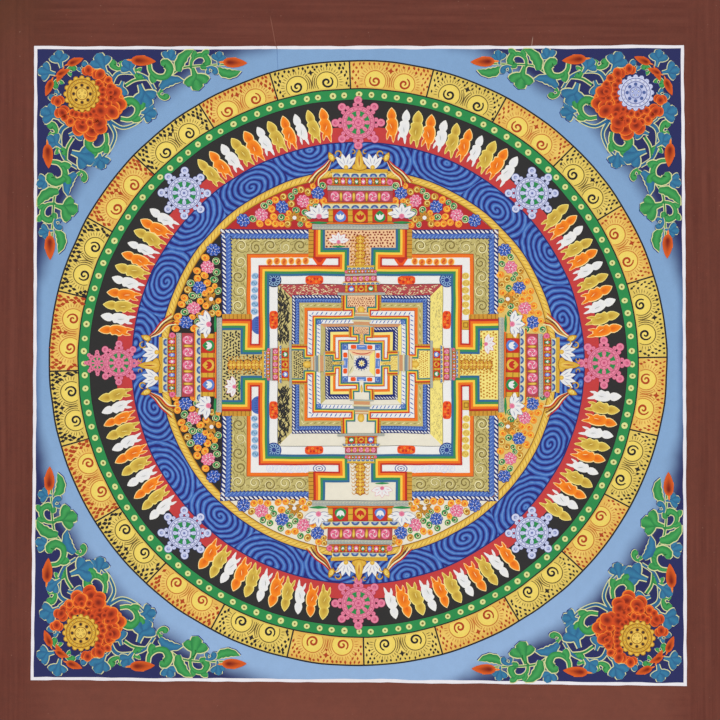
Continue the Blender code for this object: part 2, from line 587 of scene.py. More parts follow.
def course(name, corners, offsets, rowPaints, closed=False, cell=7.0):
    # Stripes beside a path with mitred corners; a row's paint may differ by stretch of the path
    points = [Vector(corner) for corner in corners]
    count = len(points) if closed else len(points) - 1
    ways = [(points[(i + 1) % len(points)] - points[i]).normalized() for i in range(count)]
    lefts = [Vector((-way.y, way.x)) for way in ways]
    mitres = []
    for i in range(len(points)):
        before = lefts[i - 1] if closed or i > 0 else lefts[0]
        after = lefts[i] if i < count else lefts[-1]
        mitres.append((before + after) / (1.0 + before.dot(after)))
    stations = []
    widest = max(offsets, key=abs)
    for i in range(count):
        j = (i + 1) % len(points)
        longest = max((points[j] - points[i]).length,
                      (points[j] + mitres[j] * widest - points[i] - mitres[i] * widest).length)
        pieces = max(1, math.ceil(longest / cell))
        stations += [(i, j, piece / pieces) for piece in range(pieces)]
    stations.append((count - 1, count % len(points), 1.0))
    bm = bmesh.new()
    bm.verts.layers.float.new("tint")
    bmesh.ops.create_grid(bm, x_segments=len(stations) - 1, y_segments=len(offsets) - 1, size=0.5)
    for face in bm.faces:
        middle = face.calc_center_median()
        row = rowPaints[int((middle.y + 0.5) * (len(offsets) - 1))]
        stretch = stations[int((middle.x + 0.5) * (len(stations) - 1))][0]
        face.material_index = paintNumber[row if isinstance(row, str) else row[stretch]]
    for vert in bm.verts:
        i, j, along = stations[round((vert.co.x + 0.5) * (len(stations) - 1))]
        offset = offsets[round((vert.co.y + 0.5) * (len(offsets) - 1))]
        start, end = points[i] + mitres[i] * offset, points[j] + mitres[j] * offset
        vert.co = (*start.lerp(end, along), 0.0)
    if closed:
        bmesh.ops.remove_doubles(bm, verts=bm.verts, dist=0.001)
    return keep(bm, name)


# Each coat of a region is one piece, because a region's coats lie over one another. The numbers say
# how many coats lie under the region.
regions = {"field": 0, "mandala": 1, "corner": 1, "court": 6, "shrine": 9}
work = {"region": "field", "under": 0, "pose": Matrix.Identity(4)}
coats = {}
stamped = {"count": 0}


@contextmanager
def posed(region=None, turn=0.0, x=0.0, y=0.0, size=1.0, flip=False, under=0):
    before = dict(work)
    work["region"] = region or work["region"]
    work["under"] += under
    work["pose"] = (
        work["pose"]
        @ Matrix.Translation((x, y, 0.0))
        @ Matrix.Rotation(-math.radians(turn), 4, "Z")
        @ Matrix.Diagonal((-size if flip else size, size, 1.0, 1.0))
    )
    yield
    work.update(before)


def coatOf(number):
    number += work["under"]
    name = f"{work['region']}_coat_{number}"
    if name not in coats:
        bm = bmesh.new()
        bm.verts.layers.float.new("tint")
        coats[name] = {"bm": bm, "height": regions[work["region"]] + number}
    return coats[name]["bm"]


def put(coat, shape, x=0.0, y=0.0, turn=0.0, size=1.0, paint=None, flip=False, shake=0.0):
    # Stamps a shape on a coat; turn is clockwise in degrees, and shake is how unsteady the hand is.
    # Neighbours in a coat lie a hair apart, so that they can overlap.
    stamped["count"] += 1
    lift = stamped["count"] * 5 % 11 * design["lift"]
    wide, tall = size if isinstance(size, tuple) else (size, size)
    turn += hand.uniform(-12.0, 12.0) * shake
    wide *= 1.0 + hand.uniform(-0.25, 0.25) * shake
    tall *= 1.0 + hand.uniform(-0.25, 0.25) * shake
    copy = shape.copy()
    copy.transform(
        work["pose"]
        @ Matrix.Translation((x, y, lift))
        @ Matrix.Rotation(-math.radians(turn), 4, "Z")
        @ Matrix.Diagonal((-wide if flip else wide, tall, 1.0, 1.0))
    )
    if paint:
        copy.polygons.foreach_set("material_index", [paintNumber[paint]] * len(copy.polygons))
    coatOf(coat).from_mesh(copy, face_normals=False, vertex_normals=False)
    bpy.data.meshes.remove(copy)


def ringSpot(turn, radius, along=0.0):
    # Where a mark on a ring goes, from the clockwise turn from the top, and how it stands
    turn += math.degrees(along / radius)
    return {"x": radius * math.sin(math.radians(turn)), "y": radius * math.cos(math.radians(turn)),
            "turn": turn}


def plank(coat, left, right, low, high, paint):
    put(coat, panel("plank", right - left, high - low), (left + right) / 2, (low + high) / 2, paint=paint)


def stack(coat, shape, *layers, **place):
    # Lays one shape over itself on coats that follow one another: size, paint and shake of each layer
    for level, (size, paint, *shake) in enumerate(layers):
        put(coat + level, shape, size=size, paint=paint, shake=sum(shake), **place)


def wreath(count, radius, *marks, start=0.0):
    # Goes round a ring with the same marks at every step: coat, shape, size, paint and shake of each
    for step in range(count):
        spot = ringSpot(start + step * 360 / count, radius)
        for coat, shape, size, paint, *shake in marks:
            put(coat, shape, **spot, size=size, paint=paint, shake=sum(shake))


def drop(tip, foot=0.0):
    return lambda turn: (math.sin(turn) * abs(math.sin(turn / 2)) ** tip * abs(math.cos(turn / 2)) ** foot,
                         math.cos(turn))


def spiral(turns, inner, outer):
    def path(along):
        turn = 2 * math.pi * turns * along
        far = inner + (outer - inner) * along
        return far * math.sin(turn), far * math.cos(turn)
    return path


def arc(radius, start, end):
    def path(along):
        turn = math.radians(start + (end - start) * along)
        return radius * math.sin(turn), radius * math.cos(turn)
    return path


def smoothPath(points):
    points = [Vector(point) for point in points]
    points = [points[0] * 2 - points[1], *points, points[-1] * 2 - points[-2]]
    spans = len(points) - 3

    def path(along):
        along = min(max(along, 0.0), 0.9999) * spans
        i = int(along)
        t = along - i
        a, b, c, d = points[i:i + 4]
        here = b * 2 + (c - a) * t + (a * 2 - b * 5 + c * 4 - d) * t * t
        here = here + (b * 3 - a - c * 3 + d) * t * t * t
        return here.x / 2, here.y / 2
    return path


def swell(least, most):
    return lambda along: least + (most - least) * math.sin(math.pi * along)


def circle(turn):
    return math.sin(turn), math.cos(turn)


def arch(turn):
    return math.sin(turn), max(0.0, math.cos(turn))


def cushion(turn):
    return [math.copysign(abs(share) ** 0.5, share) for share in circle(turn)]


# Small shapes used all over, one millimetre in reach
dot = blob("dot", 8, circle)
disc = blob("disc", 24, circle)
slab = blob("slab", 20, cushion)
lozenge = blob("lozenge", 4, circle)
tile = panel("tile", 1.0, 1.0)
lens = blob("lens", 8, drop(0.9, 0.9))
petal = blob("petal", 14, drop(0.7), hub=(0.0, -0.5))
hook = ribbon("hook", arc(0.72, -60.0, 200.0), swell(0.12, 0.34), 7)
print("brushes ready")

# Each side of the white line bows a little: where it runs at its start, middle and end
field = {
    "left": (-251.7, -249.9, -249.4),
    "right": (250.4, 250.1, 248.6),
    "bottom": (-242.5, -244.7, -247.0),
    "top": (242.7, 242.9, 243.7),
    "line": 2.4,
    "swelling": 0.28,
}
rings = {
    "segments": 24,
    "firstTurn": -1.3,
    "plain": (
        (202.6, 211.0, "beadGreen"),
        (182.0, 202.6, "nightBlack"),
        (170.2, 182.0, "bandRed"),
        (150.0, 170.2, "waveWater"),
        (144.6, 150.0, "ropeGold"),
    ),
    "garden": (96.0, 144.6),
    "gardenPaints": ("groundRed", "groundOchre", "groundCream", "groundBlack"),
    "lines": (
        (232.9, 1.2, "inkBlack"),
        (211.2, 0.9, "inkBlack"),
        (202.6, 0.5, "inkBlack"),
        (170.2, 0.9, "inkBlue"),
        (150.0, 0.8, "inkBlue"),
        (144.6, 0.6, "ropeDark"),
    ),
}


def bowed(side, along):
    start, middle, end = field[side]
    return start + (4 * middle - 3 * start - end) * along + 2 * (start + end - 2 * middle) * along * along


def fieldSpot(across, up):
    left, right = bowed("left", up), bowed("right", up)
    low, high = bowed("bottom", across), bowed("top", across)
    return left + (right - left) * across, low + (high - low) * up


def paintGrounds():
    # The blue field, its white line and the plain rings that carry the marks
    with posed("field"):
        plate = bmesh.new()
        plate.verts.layers.float.new("tint")
        bmesh.ops.create_grid(plate, x_segments=72, y_segments=72, size=0.5)
        for vert in plate.verts:
            vert.co = (*fieldSpot(vert.co.x + 0.5, vert.co.y + 0.5), 0.0)
        put(0, keep(plate, "field"), paint="skyField")
        ends = ((1.0, 1.0), (1.0, 0.0), (0.0, 0.0), (0.0, 1.0), (1.0, 1.0))
        edge = [fieldSpot(a + (c - a) * step / 90, b + (d - b) * step / 90)
                for (a, b), (c, d) in zip(ends, ends[1:]) for step in range(90)]
        bm = bmesh.new()
        bm.from_mesh(course("white line", edge, (-0.5, 0.5), ("lineWhite",), closed=True, cell=9.0))
        middles = [Vector(spot) for spot in edge]
        for vert in bm.verts:
            middle = min(middles, key=lambda spot: (spot - vert.co.xy).length_squared)
            uneven = noise.noise(Vector((middle.x / 9.0, middle.y / 9.0, 0.4)))
            moved = middle + (vert.co.xy - middle) * field["line"] * (1.0 + field["swelling"] * uneven)
            vert.co = (moved.x, moved.y, 0.0)
        put(1, keep(bm, "white line"))
    with posed("mandala"):
        for inner, outer, paint in rings["plain"]:
            put(0, band("plain ring", inner, outer, paint))
        for side, paint in enumerate(rings["gardenPaints"]):
            put(0, band("garden", *rings["garden"], paint, side * 90 - 45, side * 90 + 45))
        for radius, width, paint in rings["lines"]:
            put(1, band("ring line", radius - width / 2, radius + width / 2, paint))


paintGrounds()
print("grounds laid")

flame = {
    "inner": 211.6,
    "outer": 232.3,
    "middle": 222.0,
    "seam": (221.9, (1.1, 21.4)),
    "sunRadius": 217.5,
    "sunApart": 11.4,
    "coil": 4.6,
    "coilInk": 1.35,
    "rim": 8.0,
    "rays": 15,
    "rayTurns": (-106.0, 11.2),
    "rayReach": 10.6,
    "ray": (0.46, 1.6),
    "crossRadius": 226.0,
    "dash": (0.98, 1.6),
    "dashSpread": (0.88, 0.5),  # the dashes are bolder towards the left
    "dashRows": 7,
    "dashColumns": 16,
    "firstRow": 213.4,
    "lastRow": 231.2,
    "rowPitch": 2.85,
    # how near the dashes come to the seam, a sun and the cross, and the bare place between the suns
    "clear": (1.3, 12.3, 3.4),
    "bare": (9.0, 222.0),
}
flameCoil = ribbon("coil", spiral(1.4, 0.6, flame["coil"]),
                   swell(flame["coilInk"] * 0.7, flame["coilInk"] * 1.2), 20)
flameRim = ribbon("rim", arc(flame["rim"], -126.0, 126.0), swell(0.45, 0.7), 20)
flameWaves = [ribbon("wave", arc(radius, 52.0, 113.0), swell(0.3, 0.75), 7) for radius in (9.6, 11.1)]
flameHalo = blob("halo", 26, lambda turn: (flame["rim"] * math.sin(turn),
                                           max(flame["rim"] * math.cos(turn), -4.9)))


def paintSun(x, y, turn, ink, rayInk, flip):
    # A coil in a circle, with rays on its outer side and two curved lines towards its neighbour
    put(1, flameHalo, x, y, turn, paint="flameHalo")
    put(2, flameCoil, x, y, turn + hand.uniform(150, 190), paint=ink, flip=flip, shake=0.15)
    put(2, flameRim, x, y, turn, paint=rayInk)
    first, pitch = flame["rayTurns"]
    with posed(x=x, y=y, turn=turn, flip=flip):
        for line in flameWaves:
            put(2, line, paint=rayInk)
        for ray in range(flame["rays"]):
            spot = ringSpot(first + ray * pitch + hand.uniform(-1.5, 1.5), flame["rayReach"])
            put(2, lens, **spot, size=flame["ray"], paint=rayInk, shake=0.5)


def isClear(radius, along, length):
    seam, sun, cross = flame["clear"]
    bareAlong, bareRadius = flame["bare"]
    if radius > flame["lastRow"] or abs(along) > length * radius / flame["middle"] / 2 - seam:
        return False
    if math.hypot(abs(along) - flame["sunApart"] * 1.02, radius - flame["sunRadius"]) < sun:
        return False
    bare = abs(along) < bareAlong and radius < bareRadius
    return not bare and math.hypot(along, radius - flame["crossRadius"]) >= cross


def paintDashes(middle, length, ink):
    # The dashes stand in staggered rows wherever nothing else does
    # Bolder dashes darken the left of the ring: the marks there are bolder, and the darker left is also
    # painted shade where the gold shows less sheen
    bold = flame["dashSpread"][0] - flame["dashSpread"][1] * min(0.0, math.sin(math.radians(middle)))
    dash = (flame["dash"][0] * bold, flame["dash"][1] * bold)
    pitch = length / (flame["dashColumns"] + 0.2)
    for row in range(flame["dashRows"]):
        for column in range(flame["dashColumns"]):
            radius = flame["firstRow"] + row * flame["rowPitch"] + hand.uniform(-0.5, 0.5)
            along = (column - 7.5 + 0.5 * (row % 2)) * pitch + hand.uniform(-0.5, 0.5)
            if isClear(radius, along, length):
                spot = ringSpot(middle, radius, along)
                spot["turn"] += hand.uniform(-25, 25)
                put(2, lozenge, **spot, size=dash, paint=ink, shake=0.9)


def paintFlames():
    # Segments of yellow with black ink and orange with red ink by turns, two suns in each
    pitch = 360 / rings["segments"]
    turns = [rings["firstTurn"] + i * pitch + hand.uniform(-0.5, 0.5) for i in range(rings["segments"])]
    turns.append(turns[0] + 360)
    seamRadius, seam = flame["seam"]
    with posed("mandala"):
        for number, (start, end) in enumerate(zip(turns, turns[1:])):
            ground, ink, rayInk = (("flameOrange", "coilRed", "rayOrange"),
                                   ("flameYellow", "inkBlack", "rayBrown"))[number % 2]
            put(0, band("flames", flame["inner"] - 0.6, flame["outer"] + 0.4, ground, start, end))
            middle = (start + end) / 2
            put(2, tile, **ringSpot(start, seamRadius), size=seam, paint="inkBlack")
            for side in (-1, 1):
                apart = side * flame["sunApart"] + hand.uniform(-0.4, 0.4)
                spot = ringSpot(middle, flame["sunRadius"], apart)
                paintSun(ink=ink, rayInk=rayInk, flip=side > 0, **spot)
            for size in ((1.4, 2.4), (2.6, 1.0)):
                put(3, lozenge, **ringSpot(middle, flame["crossRadius"]), size=size, paint=ink, shake=0.3)
            paintDashes(middle, math.radians(end - start) * flame["middle"], ink)


paintFlames()
print("flames painted")

ornaments = {
    "beads": 132,
    "beadRadius": 206.7,
    "rosettes": 8,
    "rosetteRadius": 185.0,
    "double": ((-5.0, 0.85), (11.5, 0.5)),
    "buds": 11,
    "budPitch": 2.95,
    "budRadius": 186.3,
    "budDrift": 1.6,  # the row of buds stands further out on this side of the mandala
    "driftTowards": 110.0,
    "budPaints": (("petalOrange", "petalRim", "petalRim"), ("petalWhite", None, "beamGrey"),
                  ("petalMustard", "paleYellow", "paleYellow")),
    "ropeStrokes": 250,
}


def paintBeads():
    pitch = 360 / ornaments["beads"]
    for bead in range(ornaments["beads"]):
        spot = ringSpot(bead * pitch + hand.uniform(-0.25, 0.25),
                        ornaments["beadRadius"] + hand.uniform(-0.3, 0.3))
        put(1, disc, **spot, size=2.25, paint="beadCream", shake=0.4)
        put(2, dot, **spot, size=0.85, paint="oliveDark", shake=0.9)


def lobed(turn):
    # One side of the leaf is smooth, the other has three lobes, and it draws in to a tip aside
    side = math.copysign(abs(math.sin(turn)) ** 0.7, turn)
    side *= 1.0 if turn > 0 else 0.92 + 0.16 * math.cos(7 * turn)
    return side * (1.0 - 0.25 * max(0.0, -math.cos(turn))) + 0.22 * max(0.0, -math.cos(turn)), math.cos(turn)


budLeaf = blob("lobed leaf", 30, lobed)
budParts = (
    (budLeaf, 0.0, -2.4, 0.0, 4.2, 6.8),
    (lens, -2.4, -8.4, 190.0, 1.9, 3.6),
    (lens, 1.7, -9.4, 176.0, 2.3, 4.6),
    (petal, 0.3, 7.6, 0.0, 3.8, 4.7),
)


def paintBud(number, turn):
    # A pointed bud over a lobed leaf with a split tip, the colour changing from one to the next
    paint, rim, vein = ornaments["budPaints"][number % 3]
    drift = ornaments["budDrift"] * math.cos(math.radians(turn - ornaments["driftTowards"]))
    spot = ringSpot(turn, ornaments["budRadius"] + drift)
    spot["turn"] += hand.uniform(-9.0, -2.0)
    with posed(**spot, size=hand.uniform(0.97, 1.03)):
        wide = hand.uniform(0.9, 1.06)
        for shape, x, y, lean, across, tall in budParts:
            x += hand.uniform(-0.3, 0.3)
            lean += hand.uniform(-6.0, 6.0)
            if rim:
                put(2, shape, x, y, lean, (across * wide + 0.75, tall + 0.75), rim)
            put(3, shape, x, y, lean, (across * wide, tall), paint)
        put(4, lens, hand.uniform(-0.8, 0.8), hand.uniform(-3.6, -1.6), hand.uniform(-30, 30), (0.5, 2.2),
            vein, shake=0.4)


def paintRosette(body, line):
    # Eight knobs round a wheel of petals on green
    for step in range(8):
        with posed(turn=step * 45.0):
            for x, y, size in ((-2.3, 13.7, 1.4), (2.3, 13.7, 1.4), (0.0, 17.3, 2.8)):
                stack(4, disc, (size + 0.35, line), (size, body), x=x, y=y)
            put(6, hook, 0.0, 17.3, -90, size=1.5, paint=line)
    stack(6, disc, (12.9, line), (12.4, body))
    for radius in (11.5, 9.5):
        put(8, band("rosette line", radius - 0.2, radius + 0.2, line))
    put(8, disc, size=8.9, paint="beadGreen")
    wreath(20, 10.5, (8, dot, 0.45, line, 0.3))
    wreath(8, 6.6, (9, petal, (-2.0, -2.9), line), (10, petal, (-1.6, -2.5), body, 0.1))
    stack(9, disc, (5.2, line), (4.7, body), (3.1, line), (2.6, body))
    wreath(8, 3.9, (11, dot, 0.42, line), start=22.5)
    put(13, dot, size=0.8, paint=line)


def paintRings():
    gap = 360 / ornaments["rosettes"]
    number = 0
    with posed("mandala"):
        paintBeads()
        for rosette in range(ornaments["rosettes"]):
            spot = ringSpot(rosette * gap, ornaments["rosetteRadius"])
            pair = (("rosePink", "roseDeep"), ("lilac", "lilacDeep"))[rosette % 2]
            with posed(**spot):
                # the one on the left is double
                for out, size in ornaments["double"] if rosette == 6 else ((0.0, 1.0),):
                    with posed(y=out, size=size):
                        paintRosette(*pair)
            for step in range(ornaments["buds"]):
                away = (step - (ornaments["buds"] - 1) / 2) * ornaments["budPitch"]
                paintBud(number, (rosette + 0.5) * gap + away)
                number += 1
        for stroke in range(ornaments["ropeStrokes"]):
            spot = ringSpot(stroke * 360 / ornaments["ropeStrokes"], 147.3)
            spot["turn"] += 50.0
            put(1, lens, **spot, size=(0.34, 3.1), paint=("ropeDark", "ropeMid")[stroke % 2], shake=0.5)


paintRings()
print("rings painted")

garden = {
    "blossoms": ((31.5, 131.5, "blossomBlue"), (42.5, 125.5, "blossomPink"), (58.5, 121.0, "blossomBlue"),
                 (74.0, 114.5, "blossomPink"), (87.5, 110.0, "blossomBlue")),
    "bush": (49.5, 112.5),
    # how far apart the curls stand, how much nearer they may come to a blossom, and how big they are
    "sizes": ((5.6, 0.3, 0.95), (4.9, 1.3, 0.78)),
    "throws": 5000,
    "half": ((26.0, 101.0), (107.0, 142.0)),
    "rim": 141.6,
    "tower": ((38.0, 118.0), (31.0, 125.0)),  # right and top of what the tower hides
    "curls": ("orange", "green", "orange", "green", "gold"),
}


def paintBlossom(x, y, body, size=0.86):
    line, pale = {"blossomPink": ("roseDeep", "petalWhite"), "blossomBlue": ("inkBlue", "lilac")}[body]
    with posed(x=x, y=y, turn=hand.uniform(0, 40), size=size):
        for step in range(8):
            stack(1, dot, (2.1, line), (1.7, body, 0.3), **ringSpot(step * 45.0, 4.0))
            put(3, hook, **ringSpot(step * 45.0, 4.2), size=1.1, paint=pale, shake=0.4)
        put(2, disc, size=3.0, paint=body)
        wreath(5, 1.8, (3, lens, (0.7, 1.1), pale, 0.3))
        put(4, dot, size=0.7, paint=line)


curlLine = ribbon("curl line", spiral(0.9, 2.25, 0.9), swell(0.35, 0.75), 8)
curlDisc = blob("curl disc", 11, circle)


def paintCurl(x, y, size, kind):
    # A small round leaf with a pale line curled into it
    body, line, core = {"orange": ("curlOrange", "wallYellow", "wallOrange"),
                        "green": ("curlGreen", "curlCream", "inkBrown"),
                        "gold": ("curlGold", "paleYellow", "ropeDark")}[kind]
    flip = hand.random() < 0.5
    with posed(x=x, y=y, turn=hand.uniform(0, 360), size=size):
        if kind == "green":
            put(1, curlDisc, size=(3.1, 2.8), paint=line, shake=0.25)
        put(2, curlDisc, size=(2.8, 2.5) if kind == "green" else (3.1, 2.8), paint=body, shake=0.25)
        put(3, curlLine, size=0.78 if kind == "green" else 1.0, paint=line, flip=flip, shake=0.3)
        put(3, dot, size=0.7, paint=core, shake=0.6)


def paintBush():
    for step in range(7):
        stack(1, petal, ((1.9, 3.0), "ropeDark", 0.2), ((1.2, 2.2), "curlGold", 0.2),
              **ringSpot(step * 40.0 - 120.0, 3.3))
    put(3, dot, size=1.6, paint="petalWhite")


def plantCurls():
    # Curls are thrown at one half of a side and stay where they find room, the larger ones first
    taken = [(x, y, 7.0) for x, y, _ in garden["blossoms"]]
    taken.append((*garden["bush"], 6.4))
    curls = []
    for apart, reach, size in garden["sizes"]:
        for _ in range(garden["throws"]):
            x, y = (hand.uniform(*span) for span in garden["half"])
            if math.hypot(x, y) > garden["rim"] or x > y - 2.0:
                continue
            if any(x < right and y < top for right, top in garden["tower"]):
                continue
            if all(math.hypot(x - a, y - b) > near - reach for a, b, near in taken):
                taken.append((x, y, apart))
                curls.append((x, y, size, garden["curls"][hand.randrange(5)]))
    return curls


def paintGarden():
    # One half of the garden over a side is planted at random, and its other half mirrors it
    for side in range(4):
        curls = plantCurls()
        for flip in (False, True):
            with posed("mandala", turn=side * 90.0, flip=flip):
                for blossom in garden["blossoms"]:
                    paintBlossom(*blossom)
                for curl in curls:
                    paintCurl(*curl)
                with posed(x=garden["bush"][0], y=garden["bush"][1]):
                    paintBush()


paintGarden()
print("garden planted")

# Three palaces stand one inside the other. Their sizes are half widths, and their rows run outwards
# from the inner square.
palaces = {
    "mandala": {
        "place": (0.6, -1.6),
        "inside": 51.5,
        "rows": (0.0, 11.0, 11.4, 31.7, 34.3, 34.8, 46.4, 46.8, 50.3, 53.5),
        "rowPaints": ("frame", "inkBlack", "petalWhite", "wallOrange", "inkRed", "oliveGold", "inkBlack",
                      "braidMid", "inkBlue"),
        "edge": 105.0,
        "gate": 26.9,
        "shoulder": 90.8,
        "stem": 8.4,
        "wall": 69.1,
        "walls": (0.0, -1.7, -3.5, -5.2, -7.0, -8.3),
        "spots": 2.6,
        "dash": (3.3, 1.3, 2.2),
        "plait": (2.8, 0.6, 1.75),
        "tower": 1.0,
    },
    "court": {
        "place": (1.2, -1.0),
        "inside": 26.4,
        "rows": (0.0, 4.6, 4.8, 14.7, 15.1, 17.2, 21.1, 24.0, 26.8),
        "rowPaints": ("frame", "inkBlack", "petalWhite", "inkRed", "wallOrange", "oliveGold", "braidMid",
                      "inkBlue"),
        "edge": 53.2,
        "gate": 10.6,
        "shoulder": 44.3,
        "stem": 4.3,
        "wall": 34.3,
        "walls": (0.0, -0.5, -1.2, -2.0, -2.5, -3.2),
        "spots": 1.75,
        "dash": (2.4, 0.95, 1.5),
        "plait": (2.1, 0.42, 1.3),
        "tower": 0.5,
    },
    "shrine": {
        "place": (1.6, -0.2),
        "inside": 15.1,
        "rows": (0.0, 2.6, 4.8, 5.1, 6.8, 8.9, 12.8),
        "rowPaints": ("petalWhite", "petalWhite", "inkRed", "wallOrange", "paleYellow", "inkBlue"),
        "edge": 27.9,
        "gate": 5.6,
        "shoulder": 22.4,
        "stem": 1.5,
        "wall": 15.1,
        "walls": (0.0, -0.5, -1.1, -1.8, -2.2, -2.7),
        "spots": 1.15,
        "dash": (2.2, 0.65, 1.6),
        "plait": None,
        "tower": 0.245,
    },
}
sides = {  # top, right, bottom, left
    "frame": ("duskRed", "paleYellow", "groundCream", "spotGold"),
    "courtFrame": ("clayPeach", "paleYellow", "groundCream", "oliveGold"),
    "frameMarks": ("curlCream", "oliveGold", None, "nightBlack"),
    "gate": ("gatePeach", "paleYellow", "groundCream", "spotGold"),
    "gateMarks": ("gateRed", "curlGold", None, "nightBlack"),
    "band": ("curlOrange", "flameYellow", "petalWhite", "paleBlue"),
    "bandRims": ("petalRim", "paleYellow", "lilac", "lilac"),
    "bandMarks": ("wallRed", "curlGold", "lilac", "wallBlue"),
    "wall": ("wallBlue", "wallGreen", "wallYellow", "wallOrange", "wallRed"),
}
# What lies on the rows of the outer palace, from the middle of a side outwards
outerRows = {
    "scrolls": ((-96.0, -40.0), (40.0, 86.0)),
    "scrollRow": 91.9,
    "scrollPitch": 9.8,
    "blossomRow": 80.2,
    "blossoms": 6,
    "firstBlossom": 41.5,
    "blossomPitch": 5.5,
    "sign": (31.0, 80.3),
    "cushion": (35.0, 65.8),
    "disc": (65.8, 65.8),
    "strokes": ((-60.0, 60.0), (54.2, 62.0)),
    "gateFoot": 17.0,
}
scrollDark = ribbon("dark scroll", spiral(1.6, 0.6, 5.1), swell(0.5, 1.15), 20)
scrollPale = ribbon("pale scroll", spiral(1.3, 0.9, 4.6), swell(0.3, 0.75), 14)
halfMoon = blob("half moon", 20, arch, hub=(0.0, 0.4))
dome = blob("dome", 16, arch, hub=(0.0, 0.2))
wedge = ribbon("wedge", lambda along: (0.0, 1.0 - 2.0 * along), lambda along: 2.0 - 1.4 * along, 2)


def paintSpots(coat, left, right, low, high, pitch, paint, long):
    # Uneven spots in staggered rows
    for row in range(int((high - low) / (pitch * 0.86))):
        for step in range(int((right - left) / pitch)):
            x = left + (step + 0.5 + 0.5 * (row % 2)) * pitch + hand.uniform(-0.2, 0.2) * pitch
            y = low + (row + 0.5) * pitch * 0.86 + hand.uniform(-0.15, 0.15) * pitch
            if x < right - pitch * 0.3:
                put(coat, dot, x, y, hand.uniform(0, 180), (pitch * 0.25, pitch * 0.25 * long), paint,
                    shake=0.8)


def spread(start, end, count):
    # The middles of even stretches between two ends
    return [start + (step + 0.5) * (end - start) / count for step in range(count)]


def paintBraid(plan, start, end, way):
    # White dashes slant one way over navy, and paler plaits slant the other way inside them
    pitch, wide, tall = plan["dash"]
    for x in spread(start, end, int((end - start) / pitch)):
        put(1, lens, x, plan["edge"] - tall * 0.86, -52.0 * way, (wide, tall), "petalWhite", shake=0.2)
    if plan["plait"]:
        pitch, wide, tall = plan["plait"]
        y = plan["edge"] - plan["dash"][2] * 1.75 - tall
        for x in spread(start, end, int((end - start) / pitch)):
            put(1, lens, x, y, 42.0 * way, (wide, tall * 1.15), "braidPale", shake=0.3)
            put(1, dot, x + pitch * 0.5, y - tall * 0.9, size=wide * 1.1, paint="inkBlue", shake=0.3)


def paintScrolls(start, end, middle):
    # Scrolls that open up and down by turns, with short strokes between them
    for step, x in enumerate(spread(start, end, int((end - start) / outerRows["scrollPitch"]))):
        up = step % 2 == 0
        y = middle + (0.7 if up else -0.7)
        put(1, scrollPale, x, y, 20 if up else 200, paint="curlCream", flip=up, shake=0.3)
        put(1, scrollDark, x, y, 0 if up else 180, paint="oliveDark", flip=up, shake=0.3)
        for out in (-1, 1):
            put(1, lens, x + out * 4.4, middle - 4.0 * out, 60, (0.5, 2.3), "oliveDark", shake=0.6)
            put(1, lens, x + out * 2.4, middle + 4.7 * out, 75, (0.4, 1.8), "curlCream", shake=0.6)
            put(2, hook, x + out * 4.9, middle + 2.2 * out, 150 * out, 1.5, "oliveDark", shake=0.5)


def paintLotus(x, y, size, line):
    # Five petals over a green leaf
    with posed(x=x, y=y, size=size):
        for turn, reach in ((-78, 4.4), (-42, 4.0), (0, 3.6), (42, 4.0), (78, 4.4)):
            stack(5, petal, ((2.7, 3.9), line), ((2.4, 3.6), "petalWhite", 0.1), **ringSpot(turn, reach))
            put(7, lens, **ringSpot(turn, reach), size=(0.3, 1.6), paint=line)
        put(8, dot, 0.0, -0.2, size=1.6, paint="rosePink")
        put(5, lens, 0.0, -3.9, 90, size=(1.5, 5.6), paint="beadGreen")


def paintSceptre():
    # Gold petals by turns up and down, with curls beside them, fill the stem of the gate
    for row in range(9):
        y = 75.6 + row * 2.9
        half = 5.6 - 0.16 * row
        stack(4, petal, ((half, 2.5), "ropeDark", 0.2), ((half - 0.5, 2.2), "ropeGold", 0.2),
              y=y, turn=180 * (row % 2))
        for out in (-1, 1):
            put(4, hook, out * (half + 0.6), y, 60 * out, 1.9, "curlGold", flip=out > 0, shake=0.3)
            put(6, hook, out * 2.4, y, 60 * out, 1.5, "coilRed", flip=out > 0, shake=0.3)
            put(6, dot, out * 0.9, y + 1.2, size=0.5, paint="coilRed", shake=0.5)


def paintGate(plan, side):
    # The ground of the gate, its spots, and the golden pillars beside it
    gate, stem, edge, shoulder, wall = (plan[name] for name in ("gate", "stem", "edge", "shoulder", "wall"))
    ground, marks = sides["gate"][side], sides["gateMarks"][side]
    thick = -plan["walls"][-1]
    pillar = gate + thick
    broad = thick * 0.5
    foot = shoulder - thick
    plank(1, -pillar - broad, pillar + broad, foot, edge, "pillarGold")
    plank(2, -gate - 0.1, gate + 0.1, shoulder - 0.1, edge, ground)
    plank(2, -stem - 0.1, stem + 0.1, wall - 7.0 * plan["tower"], shoulder, ground)
    if marks:
        long = 1.9 if side == 3 else 1.3
        paintSpots(3, -gate, gate, shoulder, edge, plan["spots"], marks, long)
        paintSpots(3, -stem, stem, wall, shoulder, plan["spots"], marks, long)
    pitch = plan["spots"] * 1.2
    for out in (-1, 1):
        for row in range(int((edge - foot) / pitch)):
            put(2, tile, out * (pillar + broad / 2), foot + (row + 0.5) * pitch, 0.0,
                (broad, 0.5 * plan["tower"]), "ropeDark", shake=0.3)
        put(2, tile, out * (pillar + 0.2 * plan["tower"]), (foot + edge) / 2, 0.0,
            (0.5 * plan["tower"], edge - foot), "inkRed")
    if plan["tower"] == 1.0:
        paintLotus(-16.5, 95.6, 1.0, "rosePink")
        paintSceptre()
    else:
        tall = shoulder - wall
        put(4, petal, 0.0, wall + tall * 0.62, 180, (stem * 0.75, tall * 0.42), "ropeGold")


